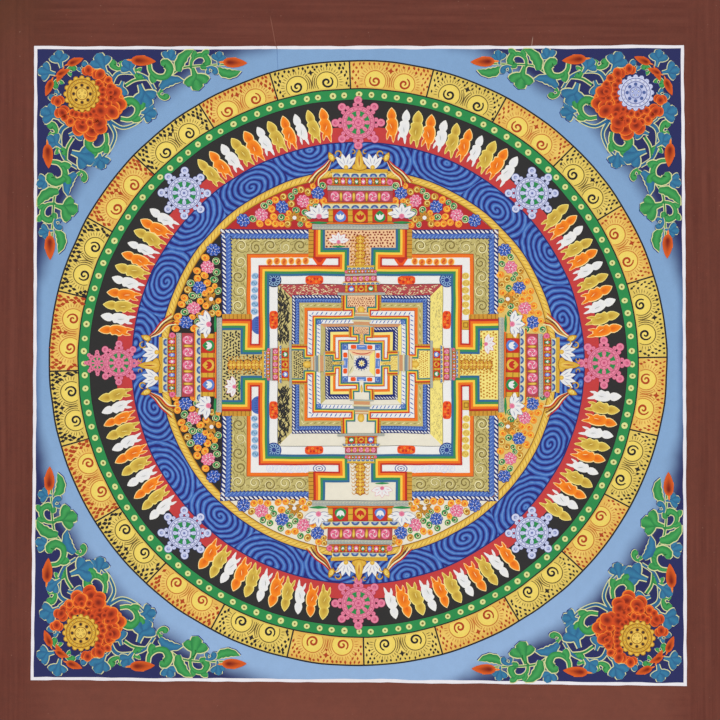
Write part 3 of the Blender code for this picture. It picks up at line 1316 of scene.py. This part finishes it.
def paintSign(side, out):
    # A wedge, a square, a ringed disc or a half moon stands beside the gate
    x, y = outerRows["sign"]
    with posed(x=out * x, y=y):
        if side == 0:
            put(1, wedge, size=(5.9, 3.1), paint="tileOrange")
            put(2, wedge, 0.0, 0.6, size=(3.2, 1.5), paint="wallRed")
        elif side == 1:
            gold = ((7.0, "ropeMid"), (6.2, "ropeGold"), (3.6, "ropeDark"), (2.4, "ropeGold"))
            stack(1, tile, *(((size * 1.1, size), paint) for size, paint in gold))
        elif side == 2:
            for number, size in enumerate((1.0, 0.84, 0.58, 0.44)):
                put(1 + number, disc, size=(4.9 * size, 3.3 * size),
                    paint=("lilacDeep", "petalWhite")[number % 2])
            put(5, lozenge, size=(1.1, 0.7), paint="lilacDeep")
        else:
            put(1, halfMoon, 0.0, -3.0, size=(7.0, 6.0), paint="braidMid")
            for step in range(-3, 4):
                put(2, lens, step * 1.7, -1.2 - 0.12 * step * step, size=(0.4, 1.6), paint="braidNavy",
                    shake=0.5)


def paintBands(side):
    # Motifs of the outer palace: blossoms on its white bands and short strokes on its frame
    for out in (-1, 1):
        for step in range(outerRows["blossoms"]):
            x = out * (outerRows["firstBlossom"] + step * outerRows["blossomPitch"])
            y = outerRows["blossomRow"] + 0.3 * (-1) ** step
            stack(1, disc, ((2.7, 3.0), sides["bandRims"][side], 0.2), ((2.3, 2.6), sides["band"][side], 0.4),
                  x=x, y=y)
            for way in (-1, 1):
                put(3, hook, x, y + 0.9 * way, 90.0 - 90.0 * way, 1.3, sides["bandMarks"][side], shake=0.4)
        paintSign(side, out)
        x, y = outerRows["cushion"]
        put(1, slab, out * x, y, size=(6.9, 3.3), paint="tileOrange", shake=0.1)
        for step in range(9):
            put(2, dot, out * x + (step - 4) * 1.3, y + 1.5 * math.sin(step * 2.2), size=0.95,
                paint=("wallRed", "curlOrange")[step % 2], shake=0.5)
        x, y = outerRows["disc"]
        with posed(x=out * x, y=y):
            put(1, disc, size=5.8, paint="braidNavy")
            wreath(6, 3.3, (2, hook, 2.0, "paleBlue", 0.3))
    marks = sides["frameMarks"][side]
    if marks:
        bold = 1.75 if side == 3 else 0.8
        for step in range(460 if side == 3 else 360):
            x, y = (hand.uniform(*span) for span in outerRows["strokes"])
            if outerRows["gateFoot"] < abs(x) < y - 1.2:
                put(1, lens, x, y, hand.uniform(40, 140), (0.5 * bold, 1.3 * bold), marks, shake=0.6)


tower = {  # low and high over the palace's edge, half width, paint
    "tiers": (
        (0.0, 4.2, 36.6, "beamGrey"),
        (4.2, 5.7, 25.6, "wallOrange"),
        (5.7, 16.0, 24.4, "wallRed"),
        (16.0, 20.2, 29.2, "beamCream"),
        (20.2, 21.4, 27.2, "wallOrange"),
        (21.4, 30.0, 24.6, "duskRed"),
        (30.0, 33.6, 24.6, "beamGrey"),
        (33.6, 34.6, 23.0, "wallOrange"),
        (34.6, 39.6, 21.4, "wallRed"),
        (39.6, 43.2, 20.6, "beamCream"),
        (43.2, 45.8, 21.4, "ropeGold"),
    ),
    # the smallest towers are only hinted at, in dull colours
    "muted": {"wallRed": "clayPeach", "wallOrange": "spotGold", "duskRed": "beamMark",
              "ropeGold": "clayPeach"},
}


def paintTier(low, high, half, paint, fine):
    middle = (low + high) / 2
    if not fine:
        plank(5, -half, half, low, high, tower["muted"].get(paint, paint))
        return
    plank(5, -half, half, low, high, paint)
    plank(6, -half, half, low - 0.16, low + 0.16, "inkBlack")
    if paint == "beamGrey":
        count = int(half * 2 / 2.4)
        for row in range(2):
            aside = (row - 0.5) * half / count
            for x in spread(-half, half, count):
                put(6, lens, x + aside, middle + (row - 0.5) * 1.4, 60 - row * 120, (0.3, 1.1), shake=0.7,
                    paint=("beamCream", "beamMark")[row])
    elif paint == "beamCream":
        # a row of blue domes stands on the beam
        count = round(half * 2 / 7.4)
        for x in spread(-half, half, count):
            stack(6, dome, ((half / count * 0.84, 2.7), "domeBlue", 0.1),
                  ((half / count * 0.42, 1.4), "domePale", 0.1), x=x, y=low + 0.6)
        plank(7, -half, half, high - 0.5, high, "paleYellow")


def paintNiches(low, high, half, count, column, colours):
    # Gold columns with a niche between each two
    pitch = 2 * half / count
    tall = high - low
    for step in range(count + 1):
        x = -half + step * pitch
        put(6, tile, x, low + tall / 2, size=(column, tall), paint="ropeGold")
        for y in (low + 0.7, low + tall / 2, high - 0.7):
            put(7, tile, x, y, size=(column * 1.25, 0.5), paint="ropeDark")
    wide = (pitch - column) * 0.46
    for step, x in enumerate(spread(-half, half, count)):
        body, glow = colours[step % len(colours)]
        put(6, petal, x, low + tall * 0.46, size=(wide, tall * 0.44), paint=body)
        for lean in (-1, 1, 0):
            put(7 + (lean == 0), petal, x + wide * 0.3 * lean, low + tall * 0.42, 34 * lean,
                (wide * 0.26, tall * 0.24), glow, shake=0.1)


def paintTower(plan):
    fine = plan["tower"] > 0.4
    with posed(y=plan["edge"], size=plan["tower"]):
        for low, high, half, paint in tower["tiers"]:
            paintTier(low, high, half, paint, fine)
        if not fine:
            return
        paintNiches(5.7, 16.0, 22.6, 3, 3.4,
                    (("braidBlue", "petalWhite"), ("ropeGold", "wallRed"), ("beadGreen", "petalWhite")))
        for step in range(5):
            with posed(x=(step - 2) * 9.6, y=25.6):
                stack(6, disc, ((3.7, 3.9), "roseDeep"), ((3.3, 3.5), "blossomPink"))
                wreath(3, 1.7, (8, hook, 1.5, "petalWhite", 0.3), start=-60)
                if step:
                    stack(6, petal, ((1.7, 4.0), "ropeDark"), ((1.2, 3.3), "ropeGold"), x=-4.8, y=-0.4,
                          turn=180)
        paintNiches(34.6, 39.6, 20.2, 8, 1.2,
                    (("beadGreen", "petalWhite"), ("blossomPink", "petalWhite"), ("braidBlue", "lilac")))
        for out in (-1, 1):
            stack(6, disc, ((2.5, 2.3), "roseDeep"), ((2.0, 1.8), "blossomPink"), x=out * 22.6, y=36.4)
            if plan["tower"] == 1.0:
                paintLotus(out * 31.6, 10.6, 1.34, "lilacDeep")


def paintFinial():
    # A gold bud between two white lotuses, gold curls, and striped pennants at the ends of the roof
    with posed(y=palaces["mandala"]["edge"]):
        for y, wide, tall in ((53.0, 3.8, 8.2), (48.2, 6.6, 3.0)):
            stack(6, petal, ((wide + 0.5, tall + 0.5), "ropeDark"), ((wide, tall), "ropeGold"), y=y)
        put(8, lens, 0.0, 52.4, size=(0.8, 4.4), paint="inkRed")
        for out in (-1, 1):
            for turn in (-40, 40, -14, 14):
                spot = ringSpot(turn, 5.6)
                spot["x"] += out * 9.9
                spot["y"] += 46.6
                stack(6, petal, ((3.1, 6.4), "lilacDeep"), ((2.7, 6.0), "petalWhite", 0.08), **spot)
                put(8, lens, **spot, size=(0.3, 2.6), paint="lilacDeep", shake=0.3)
            put(8, dot, out * 9.9, 47.2, size=1.8, paint="ropeGold")
            for x, y, lean, size in ((15.6, 57.6, 40, 3.4), (17.4, 52.0, 60, 3.0), (4.4, 59.4, -20, 2.2)):
                put(6, hook, out * x, y, out * lean, size, "ropeDark", flip=out > 0)
                put(7, hook, out * x, y + 0.2, out * lean, size * 0.9, "ropeGold", flip=out > 0)
            for row, paint in enumerate(("wallRed", "curlCream", "inkBrown", "curlGold", "wallRed",
                                         "curlCream")):
                path = smoothPath(((21.0, 54.5 - row * 0.5), (26.0 - row * 0.3, 49.0 - row * 0.9),
                                   (33.0 - row * 0.5, 44.0 - row), (40.0 - row * 1.7, 36.5 - row * 0.6)))
                put(6, ribbon("pennant", path, swell(0.6, 1.15), 10), flip=out < 0, paint=paint)
            stack(7, petal, ((3.0, 4.2), "ropeDark"), ((2.4, 3.6), "ropeGold"), x=out * 21.0, y=55.4,
                  turn=out * 24)
            put(9, hook, out * 21.0, 55.0, out * 24, 1.9, "paleYellow", flip=out > 0)


def paintCourtSide():
    # Strokes, a navy tile with a curl, and leaves in two colours on the rows of the middle palace
    for out in (-1, 1):
        for step in range(9):
            put(1, lens, out * (8.6 + step * 3.6), 39.2, 32, (0.75, 1.7), "braidMid", shake=0.5)
            put(1, lens, out * (9.0 + step * 3.0), 32.8, 32, (0.7, 1.6), "braidMid", shake=0.5)
        put(1, tile, out * 32.6, 32.6, size=(3.6, 3.6), paint="braidMid")
        put(2, hook, out * 32.6, 32.6, size=1.4, paint="paleBlue")
        for step in range(10):
            put(1, lens, out * (18.0 + step * 2.9), 45.4, 65, (0.5, 1.4), shake=0.8,
                paint=("oliveDark", "curlCream")[step % 2])


def paintPalace(region):
    plan = palaces[region]
    half, edge, wall, stem, gate, shoulder = (plan[name] for name in ("inside", "edge", "wall", "stem",
                                                                      "gate", "shoulder"))
    square = ((half, half), (half, -half), (-half, -half), (-half, half))
    frame = tuple(sides["frame" if region == "mandala" else "courtFrame"][side] for side in (1, 2, 3, 0))
    rowPaints = [frame if row == "frame" else row for row in plan["rowPaints"]]
    wallPath = ((-gate, edge), (-gate, shoulder), (-stem, shoulder), (-stem, wall), (-wall, wall),
                (-wall, stem), (-shoulder, stem), (-shoulder, gate), (-edge, gate))
    pillar = gate - plan["walls"][-1] * 1.5
    with posed(region, x=plan["place"][0], y=plan["place"][1], under=1):
        put(0, course("rows", square, plan["rows"], rowPaints, closed=True))
        for side in range(4):
            with posed(turn=side * 90.0):
                for start, end in ((-edge, -pillar), (pillar, edge)):
                    paintBraid(plan, start, end, 1 - 2 * (side % 2))
                paintGate(plan, side)
                put(6, course("walls", wallPath, plan["walls"], sides["wall"]))
                if region == "mandala":
                    for start, end in outerRows["scrolls"]:
                        paintScrolls(start, end, outerRows["scrollRow"])
                    paintBands(side)
                    paintFinial()
                elif region == "court":
                    paintCourtSide()
                paintTower(plan)


def paintHeart():
    # The innermost square holds a plain golden flower
    x, y = palaces["shrine"]["place"]
    with posed("shrine", x=x, y=y, under=1):
        plank(1, -14.7, 14.7, -14.7, 14.7, "petalWhite")
        for side in range(4):
            with posed(turn=side * 90.0):
                put(2, tile, -12.4, 12.4, size=4.4, paint="braidMid")
                put(3, hook, -12.4, 12.4, size=1.8, paint="paleBlue")
                put(2, tile, 0.0, 12.4, size=(7.4, 3.4), paint="braidBlue", shake=0.2)
                put(3, lens, 0.0, 12.8, 90, size=(0.7, 2.6), paint="lilac", shake=0.3)
                for out in (-1, 1):
                    put(3, slab, out * 6.2, 12.5, size=(2.0, 1.6), paint="tileOrange", shake=0.1)
        frame = ("paleYellow", "groundCream", "beamCream", "gatePeach")
        put(4, course("inner frame", ((6.0, 6.0), (6.0, -6.0), (-6.0, -6.0), (-6.0, 6.0)), (0.0, 4.1, 4.4),
                      (frame, "inkBrown"), closed=True))
        for out in (-1, 1):
            put(5, lens, -8.0, out * 5.0, -25 * out, size=(0.4, 3.0), paint="nightBlack")
        put(5, ribbon("bowed line", smoothPath(((-7.4, 8.6), (-2.5, 7.2), (3.0, 7.4), (7.2, 9.0))),
                      swell(0.4, 0.8), 12), paint="bandRed")
        plank(5, -5.9, 5.9, -5.9, 5.9, "groundCream")
        wreath(16, 5.2, (6, dot, 0.5, "domeBlue", 0.4))
        put(6, disc, size=4.6, paint="courtBlue")
        wreath(8, 1.6, (7, petal, (0.65, 1.2), "curlCream"))
        put(8, dot, size=0.8, paint="ropeGold")


for palace in palaces:
    paintPalace(palace)
paintHeart()
print("palaces painted")

corners = {
    "spots": ((-250.2, 243.2, 0.0, False), (249.2, 244.2, 0.0, True), (250.0, -247.6, 180.0, False),
              (-250.8, -243.4, 180.0, True)),
    "outline": 0.8,
    "scale": 1.12,
    # kind, right, down, turn, size, paint, flip: half of a corner, mirrored over its diagonal
    "leaves": (
        ("trefoil", 19.0, 8.5, -12, 0.75, "leafTeal", False),
        ("comma", 28.5, 18.0, 60, 0.55, "leafGreen", False),
        ("comma", 37.0, 15.0, 20, 0.6, "leafTeal", True),
        ("trefoil", 51.0, 11.5, -25, 0.9, "leafTeal", False),
        ("comma", 63.0, 13.0, -60, 0.75, "leafGreen", False),
        ("trefoil", 72.5, 14.5, -35, 0.75, "leafTeal", True),
        ("comma", 80.5, 20.5, 150, 0.6, "leafGreen", True),
        ("curl", 97.5, 17.0, 110, 1.0, "leafGreen", True),
        ("trefoil", 104.5, 6.8, 15, 0.7, "leafTeal", False),
        ("blade", 115.0, 10.0, 24, 0.95, "leafGreen", False),
        ("curl", 128.0, 11.0, 70, 0.8, "leafGreen", False),
        ("trefoil", 142.0, 8.0, 5, 0.62, "leafTeal", False),
        ("trefoil", 124.5, 25.5, 165, 1.0, "leafGreen", False),
        ("comma", 136.5, 18.5, 120, 0.6, "leafTeal", False),
        ("blade", 149.0, 19.0, 105, 0.85, "leafGreen", True),
        ("blade", 105.0, 27.5, 62, 0.9, "leafTeal", False),
        ("comma", 99.5, 36.5, 110, 0.6, "leafGreen", True),
        ("trefoil", 84.5, 38.5, 160, 1.05, "leafTeal", True),
        ("trefoil", 88.0, 50.5, 95, 0.8, "leafTeal", False),
        ("curl", 73.5, 47.5, 35, 0.95, "leafGreen", True),
        ("trefoil", 65.5, 33.0, 200, 0.7, "leafTeal", False),
    ),
    "buds": ((31.5, 11.0, 68, 0.72), (19.5, 22.0, 205, 0.6), (84.0, 10.5, 94, 1.0), (154.5, 12.0, 92, 1.0)),
    "stems": (
        (((57.0, 57.0), (60.0, 47.0), (58.0, 33.0), (63.0, 21.0), (74.0, 19.5), (86.0, 23.5), (93.0, 33.0)),
         3.4, "leafTeal"),
        (((58.0, 57.5), (68.0, 62.0), (79.0, 58.0), (86.0, 51.5)), 2.2, "leafTeal"),
        (((70.0, 29.5), (78.0, 25.0), (90.0, 24.0), (101.0, 23.5), (112.0, 16.5), (122.0, 14.5),
          (134.0, 14.0), (147.0, 13.5)), 1.7, "leafGreen"),
        (((47.0, 21.0), (55.0, 19.0), (60.0, 24.0)), 1.8, "leafTeal"),
        (((120.0, 15.0), (124.0, 19.0), (124.5, 23.0)), 1.6, "leafGreen"),
    ),
    "peony": (
        (43.0, 18.5, 5, 0.75), (52.0, 22.0, 30, 0.85), (57.5, 30.5, 55, 0.95), (63.5, 37.0, 70, 1.1),
        (67.0, 45.5, 95, 1.15), (61.5, 51.5, 130, 1.15), (55.5, 42.0, 70, 1.05), (52.5, 50.5, 135, 1.15),
    ),
    "hearts": ("gold", "white", "gold", "gold"),
    "heart": (36.5, -36.0),
    "drawnIn": 0.965,
    "lumps": 26,
    "lumpTurns": (55.0, 160.0),
    "lumpRows": (16.0, 22.5),
}


def blunt(width, foot, extra):
    # A stroke that swells from its foot to a round head
    def across(along):
        body = foot + (width - foot) * min(1.0, along * 1.25) ** 1.4
        head = math.sqrt(max(0.0, 1.0 - max(0.0, (along - 0.8) / 0.2) ** 2))
        return (body + extra) * head
    return across


def leafShapes(extra):
    # The leaves and their outlines are the same strokes, the outlines a little wider
    def stroke(points, width, foot, steps):
        return ribbon("leaf", smoothPath(points), blunt(width, foot, extra), steps, 1 if extra else 2)

    def serrated(along):
        body = math.sin(math.pi * min(1.0, 0.12 + along * 0.88)) ** 0.8
        return (7.0 * (1.0 + 0.10 * math.sin(along * 26.0)) + extra) * body

    return {
        "trefoil": [
            stroke(((0, -9), (-0.5, -3), (-4.6, 0.0), (-6.4, 3.8)), 7.4, 2.2, 9),
            stroke(((0, -9), (0.4, -3), (4.4, -0.4), (6.8, 2.8)), 7.0, 2.2, 9),
            stroke(((0, -9), (0, -3), (0.4, 2.0), (0.0, 7.4)), 8.2, 2.2, 9),
        ],
        "curl": [
            stroke(((1.5, -9.5), (-4.0, -6.4), (-6.0, -0.5), (-3.6, 4.8), (2.2, 5.6), (4.9, 1.4),
                    (2.6, -1.4)), 6.4, 2.2, 18),
            stroke(((-4.0, -5.0), (-7.6, -4.0), (-9.4, -0.4)), 5.4, 2.6, 7),
            stroke(((-4.0, 2.0), (-6.4, 6.0), (-4.4, 9.4)), 4.8, 2.6, 7),
        ],
        "comma": [
            stroke(((0.0, -7.5), (-3.2, -3.0), (-2.6, 2.6), (2.6, 3.8)), 7.6, 2.0, 11),
            stroke(((-1.0, -5.0), (2.5, -4.4), (4.6, -2.2)), 5.2, 1.8, 7),
        ],
        "blade": [
            ribbon("blade", smoothPath(((0.0, -9.0), (-1.8, -3.0), (-0.6, 4.0), (3.4, 9.6 + extra * 0.6))),
                   serrated, 16, 1 if extra else 2),
        ],
    }


leaves = leafShapes(0.0)
leafEdges = leafShapes(2 * corners["outline"])


def paintLeaf(over, kind, x, y, turn, size, paint, flip):
    # A dark edge shows on the side towards the rings, then the pale outline and the leaf
    size *= corners["scale"]
    for edge, body in zip(leafEdges[kind], leaves[kind]):
        put(0, edge, x + 0.5, -y - 0.5, turn, size=size, paint="courtBlue", flip=flip)
        put(1 + over, edge, x, -y, turn, size=size, paint="leafLine", flip=flip)
        put(2 + over, body, x, -y, turn, size=size, paint=paint, flip=flip)


def paintPeony(heart):
    # Overlapping petals, dark at the root and bright at the rim, round a seed head
    drawnIn = corners["drawnIn"]
    rows = [*corners["peony"], *((y, x, 180 - turn, size) for x, y, turn, size in corners["peony"])]
    for number, (x, y, turn, size) in enumerate(rows):
        for aside in (-1, 1, 0):
            level = 5 + (number % 2) * 2 + (aside == 0)
            broad = size * (0.88 if aside else 0.96)
            with posed(x=x * drawnIn, y=-y * drawnIn, turn=turn + aside * 34, size=broad):
                put(level, disc, aside * 3.6, 0.8, size=(4.5, 5.3), paint="peonyRim", shake=0.2)
                put(level + 1, disc, aside * 3.6, 0.4, size=(3.9, 4.6), paint="peonyOrange", shake=0.2)
    x, y = corners["heart"]
    first, span = corners["lumpTurns"]
    with posed(x=x, y=y):
        for lump in range(corners["lumps"]):
            turn = first + (lump + hand.uniform(-0.4, 0.4)) * span / (corners["lumps"] - 1)
            spot = ringSpot(turn, corners["lumpRows"][lump % 2] + hand.uniform(-1.0, 1.0))
            stack(8, disc, ((2.9, 3.2), "peonyRim", 0.2), ((2.3, 2.6), "peonyOrange", 0.2), **spot)
    with posed(x=x, y=y, under=10):
        body, line, glow, seed = {"gold": ("ropeGold", "ropeDark", "flameHalo", "nightBlack"),
                                  "white": ("lilac", "lilacDeep", "petalWhite", "domeBlue")}[heart]
        wreath(16, 12.2, (0, dot, 2.3, line), (1, dot, 1.8, body, 0.2))
        put(1, disc, size=12.3, paint=body)
        for radius in (11.2, 8.6, 4.4):
            put(2, band("seed ring", radius - 0.28, radius + 0.28, line))
        for count, radius, size, core in ((18, 9.9, 0.7, glow), (8, 6.5, 1.5, seed), (5, 2.5, 0.85, glow)):
            wreath(count, radius, (2, dot, size, line, 0.2), (3, dot, size * 0.6, core))


def paintCorners():
    for number, (x, y, turn, flip) in enumerate(corners["spots"]):
        with posed("corner", x=x, y=y, turn=turn, flip=flip):
            for mirrored in (False, True):
                # the second half swaps right and down
                with posed(turn=-90.0 if mirrored else 0.0, flip=mirrored):
                    for points, width, paint in corners["stems"]:
                        path = smoothPath([(a, -b) for a, b in points])
                        steps = 8 * (len(points) - 1)
                        wider = width + 2 * corners["outline"]
                        put(1, ribbon("stem edge", path, lambda along: wider * (1.0 - 0.4 * along), steps),
                            paint="leafLine")
                        put(2, ribbon("stem", path, lambda along: width * (1.0 - 0.5 * along), steps),
                            paint=paint)
                    for order, leaf in enumerate(corners["leaves"]):
                        paintLeaf(order % 2 * 2, *leaf)
                    for a, b, lean, size in corners["buds"]:
                        with posed(x=a, y=-b, turn=lean, size=size):
                            put(5, lens, 0.0, -8.2, 0, size=(2.0, 5.0), paint="peonyRim")
                            put(5, petal, -1.9, -3.4, -24, size=(2.4, 5.0), paint="peonyRim")
                            put(6, petal, 0.0, 0.0, 0, size=(4.9, 9.4), paint="budRed")
            paintPeony(corners["hearts"][number])


paintCorners()
print("corners painted")


def drape(bm, follow):
    # Lays a flat mesh on the hanging cloth; what crosses the crease is cut fine enough to follow it
    bends = ((crease["top"], crease["knee"]), (crease["knee"], crease["foot"])) if follow else ()
    for (startX, startZ), (endX, endZ) in bends:
        start, end = Vector((startX, 0.0, startZ)), Vector((endX, 0.0, endZ))
        way = (end - start).normalized()
        across = Vector((way.z, 0.0, -way.x))
        for step in crease["cuts"]:
            near = []
            for face in bm.faces:
                away = face.calc_center_median() - start
                if -0.008 < away.dot(way) < (end - start).length + 0.008 and abs(away.dot(across)) < 0.012:
                    near.append(face)
            touched = {edge for face in near for edge in face.edges}
            ends = {vert for face in near for vert in face.verts}
            bmesh.ops.bisect_plane(bm, geom=near + list(touched) + list(ends), dist=1e-7,
                                   plane_co=start + across * step * crease["halfWidth"], plane_no=across)
    for vert in bm.verts:
        vert.co.y += clothDepth(vert.co.x, vert.co.z)


def stand(name, data):
    piece = bpy.data.objects.new(name, data)
    bpy.context.scene.collection.objects.link(piece)
    return piece


def hangCoat(name):
    bm, height = coats[name]["bm"], coats[name]["height"]
    bm.normal_update()
    bmesh.ops.reverse_faces(bm, faces=[face for face in bm.faces if face.normal.z < 0.0])
    used = sorted({face.material_index for face in bm.faces})
    for face in bm.faces:
        face.material_index = used.index(face.material_index)
    front = -cloth["thickness"] / 2 - (height + 1.0) * design["coat"]
    middleX, middleY = design["middle"]
    for vert in bm.verts:
        x, y, lift = vert.co
        place = Vector((x, y)) / design["waverLength"]
        if name.startswith("mandala"):
            across, over = ovalShift(x, y)
            x, y = x + across, y + over
        x += middleX + design["waver"] * noise.noise(Vector((*place, 3.1)))
        y += middleY + design["waver"] * noise.noise(Vector((*place, 8.7)))
        vert.co = (x * mm, front - lift * mm, y * mm)
    drape(bm, name.startswith("field"))
    mesh = keep(bm, name)
    for number in used:
        mesh.materials.append(paintMaterial(list(paints)[number]))
    piece = stand(name, mesh)
    film = piece.modifiers.new("film", "SOLIDIFY")
    film.thickness = design["film"]
    film.offset = -1.0
    return piece


def settle(piece):
    # Applies the modifiers and returns the places of the corners for a map
    graph = bpy.context.evaluated_depsgraph_get()
    mesh = bpy.data.meshes.new_from_object(piece.evaluated_get(graph), preserve_all_data_layers=True,
                                           depsgraph=graph)
    old = piece.data
    piece.modifiers.clear()
    piece.data = mesh
    bpy.data.meshes.remove(old)
    mesh.name = piece.name
    points = np.empty(len(mesh.vertices) * 3, np.float32)
    mesh.vertices.foreach_get("co", points)
    numbers = np.empty(len(mesh.loops), np.int32)
    mesh.loops.foreach_get("vertex_index", numbers)
    return points.reshape(-1, 3)[numbers]


def mapFront(piece, places, plainSlot=None):
    # The painting is flat, so its map is the view from the front. On the cloth the front takes nearly
    # all of the map, and the plain back and edges share a narrow strip.
    mesh = piece.data
    span = (places - places.min(0)) / (places.max(0) - places.min(0))
    across = span[:, 0]
    if plainSlot:
        slots, counts = (np.empty(len(mesh.polygons), np.int32) for _ in range(2))
        mesh.polygons.foreach_get("material_index", slots)
        mesh.polygons.foreach_get("loop_total", counts)
        plain = np.repeat(slots, counts) == plainSlot
        across = np.where(plain, 0.975 + across * 0.02, across * 0.965)
    flat = mesh.uv_layers.new(name="OFBake")
    flat.data.foreach_set("uv", np.stack([across, span[:, 2]], 1).astype(np.float32).ravel())


def makeCloth():
    bm = bmesh.new()
    bmesh.ops.create_grid(bm, x_segments=cloth["cells"], y_segments=cloth["cells"], size=0.5)
    for vert in bm.verts:
        across, down = vert.co.x + 0.5, 0.5 - vert.co.y
        left = -cloth["width"] / 2 + edgeShift("left", down)
        right = cloth["width"] / 2 + edgeShift("right", down)
        top = edgeShift("top", across)
        bottom = -cloth["height"] + edgeShift("bottom", across)
        vert.co = (left + (right - left) * across, 0.0, top + (bottom - top) * down)
    drape(bm, True)
    bm.normal_update()
    if sum(face.normal.y for face in bm.faces) > 0.0:
        bmesh.ops.reverse_faces(bm, faces=bm.faces)
    for face in bm.faces:
        face.smooth = True
    mesh = keep(bm, "cloth")
    for name in ("borderMaroon", "primedCotton"):
        mesh.materials.append(paintMaterial(name))
    piece = stand("cloth", mesh)
    thickness = piece.modifiers.new("thickness", "SOLIDIFY")
    thickness.thickness = cloth["thickness"]
    thickness.offset = 0.0
    thickness.material_offset = 1
    thickness.material_offset_rim = 1
    return piece


clothPiece = makeCloth()
mapFront(clothPiece, settle(clothPiece), plainSlot=1)
films = []
for name in list(coats):
    piece = hangCoat(name)
    mapFront(piece, settle(piece))
    films.append(piece)
for piece in [clothPiece, *films]:
    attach(piece, "root")
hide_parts("canvas")
for piece in [clothPiece, *films]:
    triangles = len(piece.data.loops) - 2 * len(piece.data.polygons)
    print(piece.name, "triangles:", triangles)

studio = {
    "floorDrop": 0.69,
    "floor": ((0.81, 0.80, 0.78, 1.0), (0.79, 0.78, 0.76, 1.0)),
    "sky": 0.62,
    "sun": 1.35,
    "sunSpread": math.radians(40),
    "sunTurn": (math.radians(62), 0.0, math.radians(-16)),
    "distance": 1.9,
    "framed": 0.5547,
    "sensor": 36.0,
    "eyeHeight": -0.290,
}


def makeFloor():
    bm = bmesh.new()
    bmesh.ops.create_grid(bm, x_segments=8, y_segments=8, size=6.0)
    bmesh.ops.translate(bm, vec=(0.0, 0.0, -studio["floorDrop"]), verts=bm.verts)
    mesh = keep(bm, "floor")
    material = bpy.data.materials.new("pale floor")
    material.use_nodes = True
    tree = material.node_tree
    shader = tree.nodes["Principled BSDF"]
    worn = noiseAt(tree, make(tree, "ShaderNodeTexCoord").outputs["Object"], 2.0)
    tree.links.new(mixed(tree, worn, *studio["floor"]), shader.inputs["Base Color"])
    shader.inputs["Roughness"].default_value = 0.9
    mesh.materials.append(material)
    stand("floor", mesh)


def makeStudio():
    scene = bpy.context.scene
    makeFloor()
    world = scene.world or bpy.data.worlds.new("studio")
    scene.world = world
    world.use_nodes = True
    sky = world.node_tree.nodes["Background"]
    sky.inputs["Color"].default_value = (1.0, 1.0, 1.0, 1.0)
    sky.inputs["Strength"].default_value = studio["sky"]
    sun = bpy.data.lights.new("soft key", "SUN")
    sun.energy = studio["sun"]
    sun.angle = studio["sunSpread"]
    stand("soft key", sun).rotation_euler = studio["sunTurn"]
    optics = bpy.data.cameras.new("front view")
    optics.sensor_width = studio["sensor"]
    optics.lens = studio["sensor"] * studio["distance"] / studio["framed"]
    camera = stand("front view", optics)
    camera.location = (0.0, -studio["distance"], studio["eyeHeight"])
    camera.rotation_euler = (math.radians(90), 0.0, 0.0)
    scene.camera = camera
    scene.view_settings.view_transform = "Standard"


makeStudio()
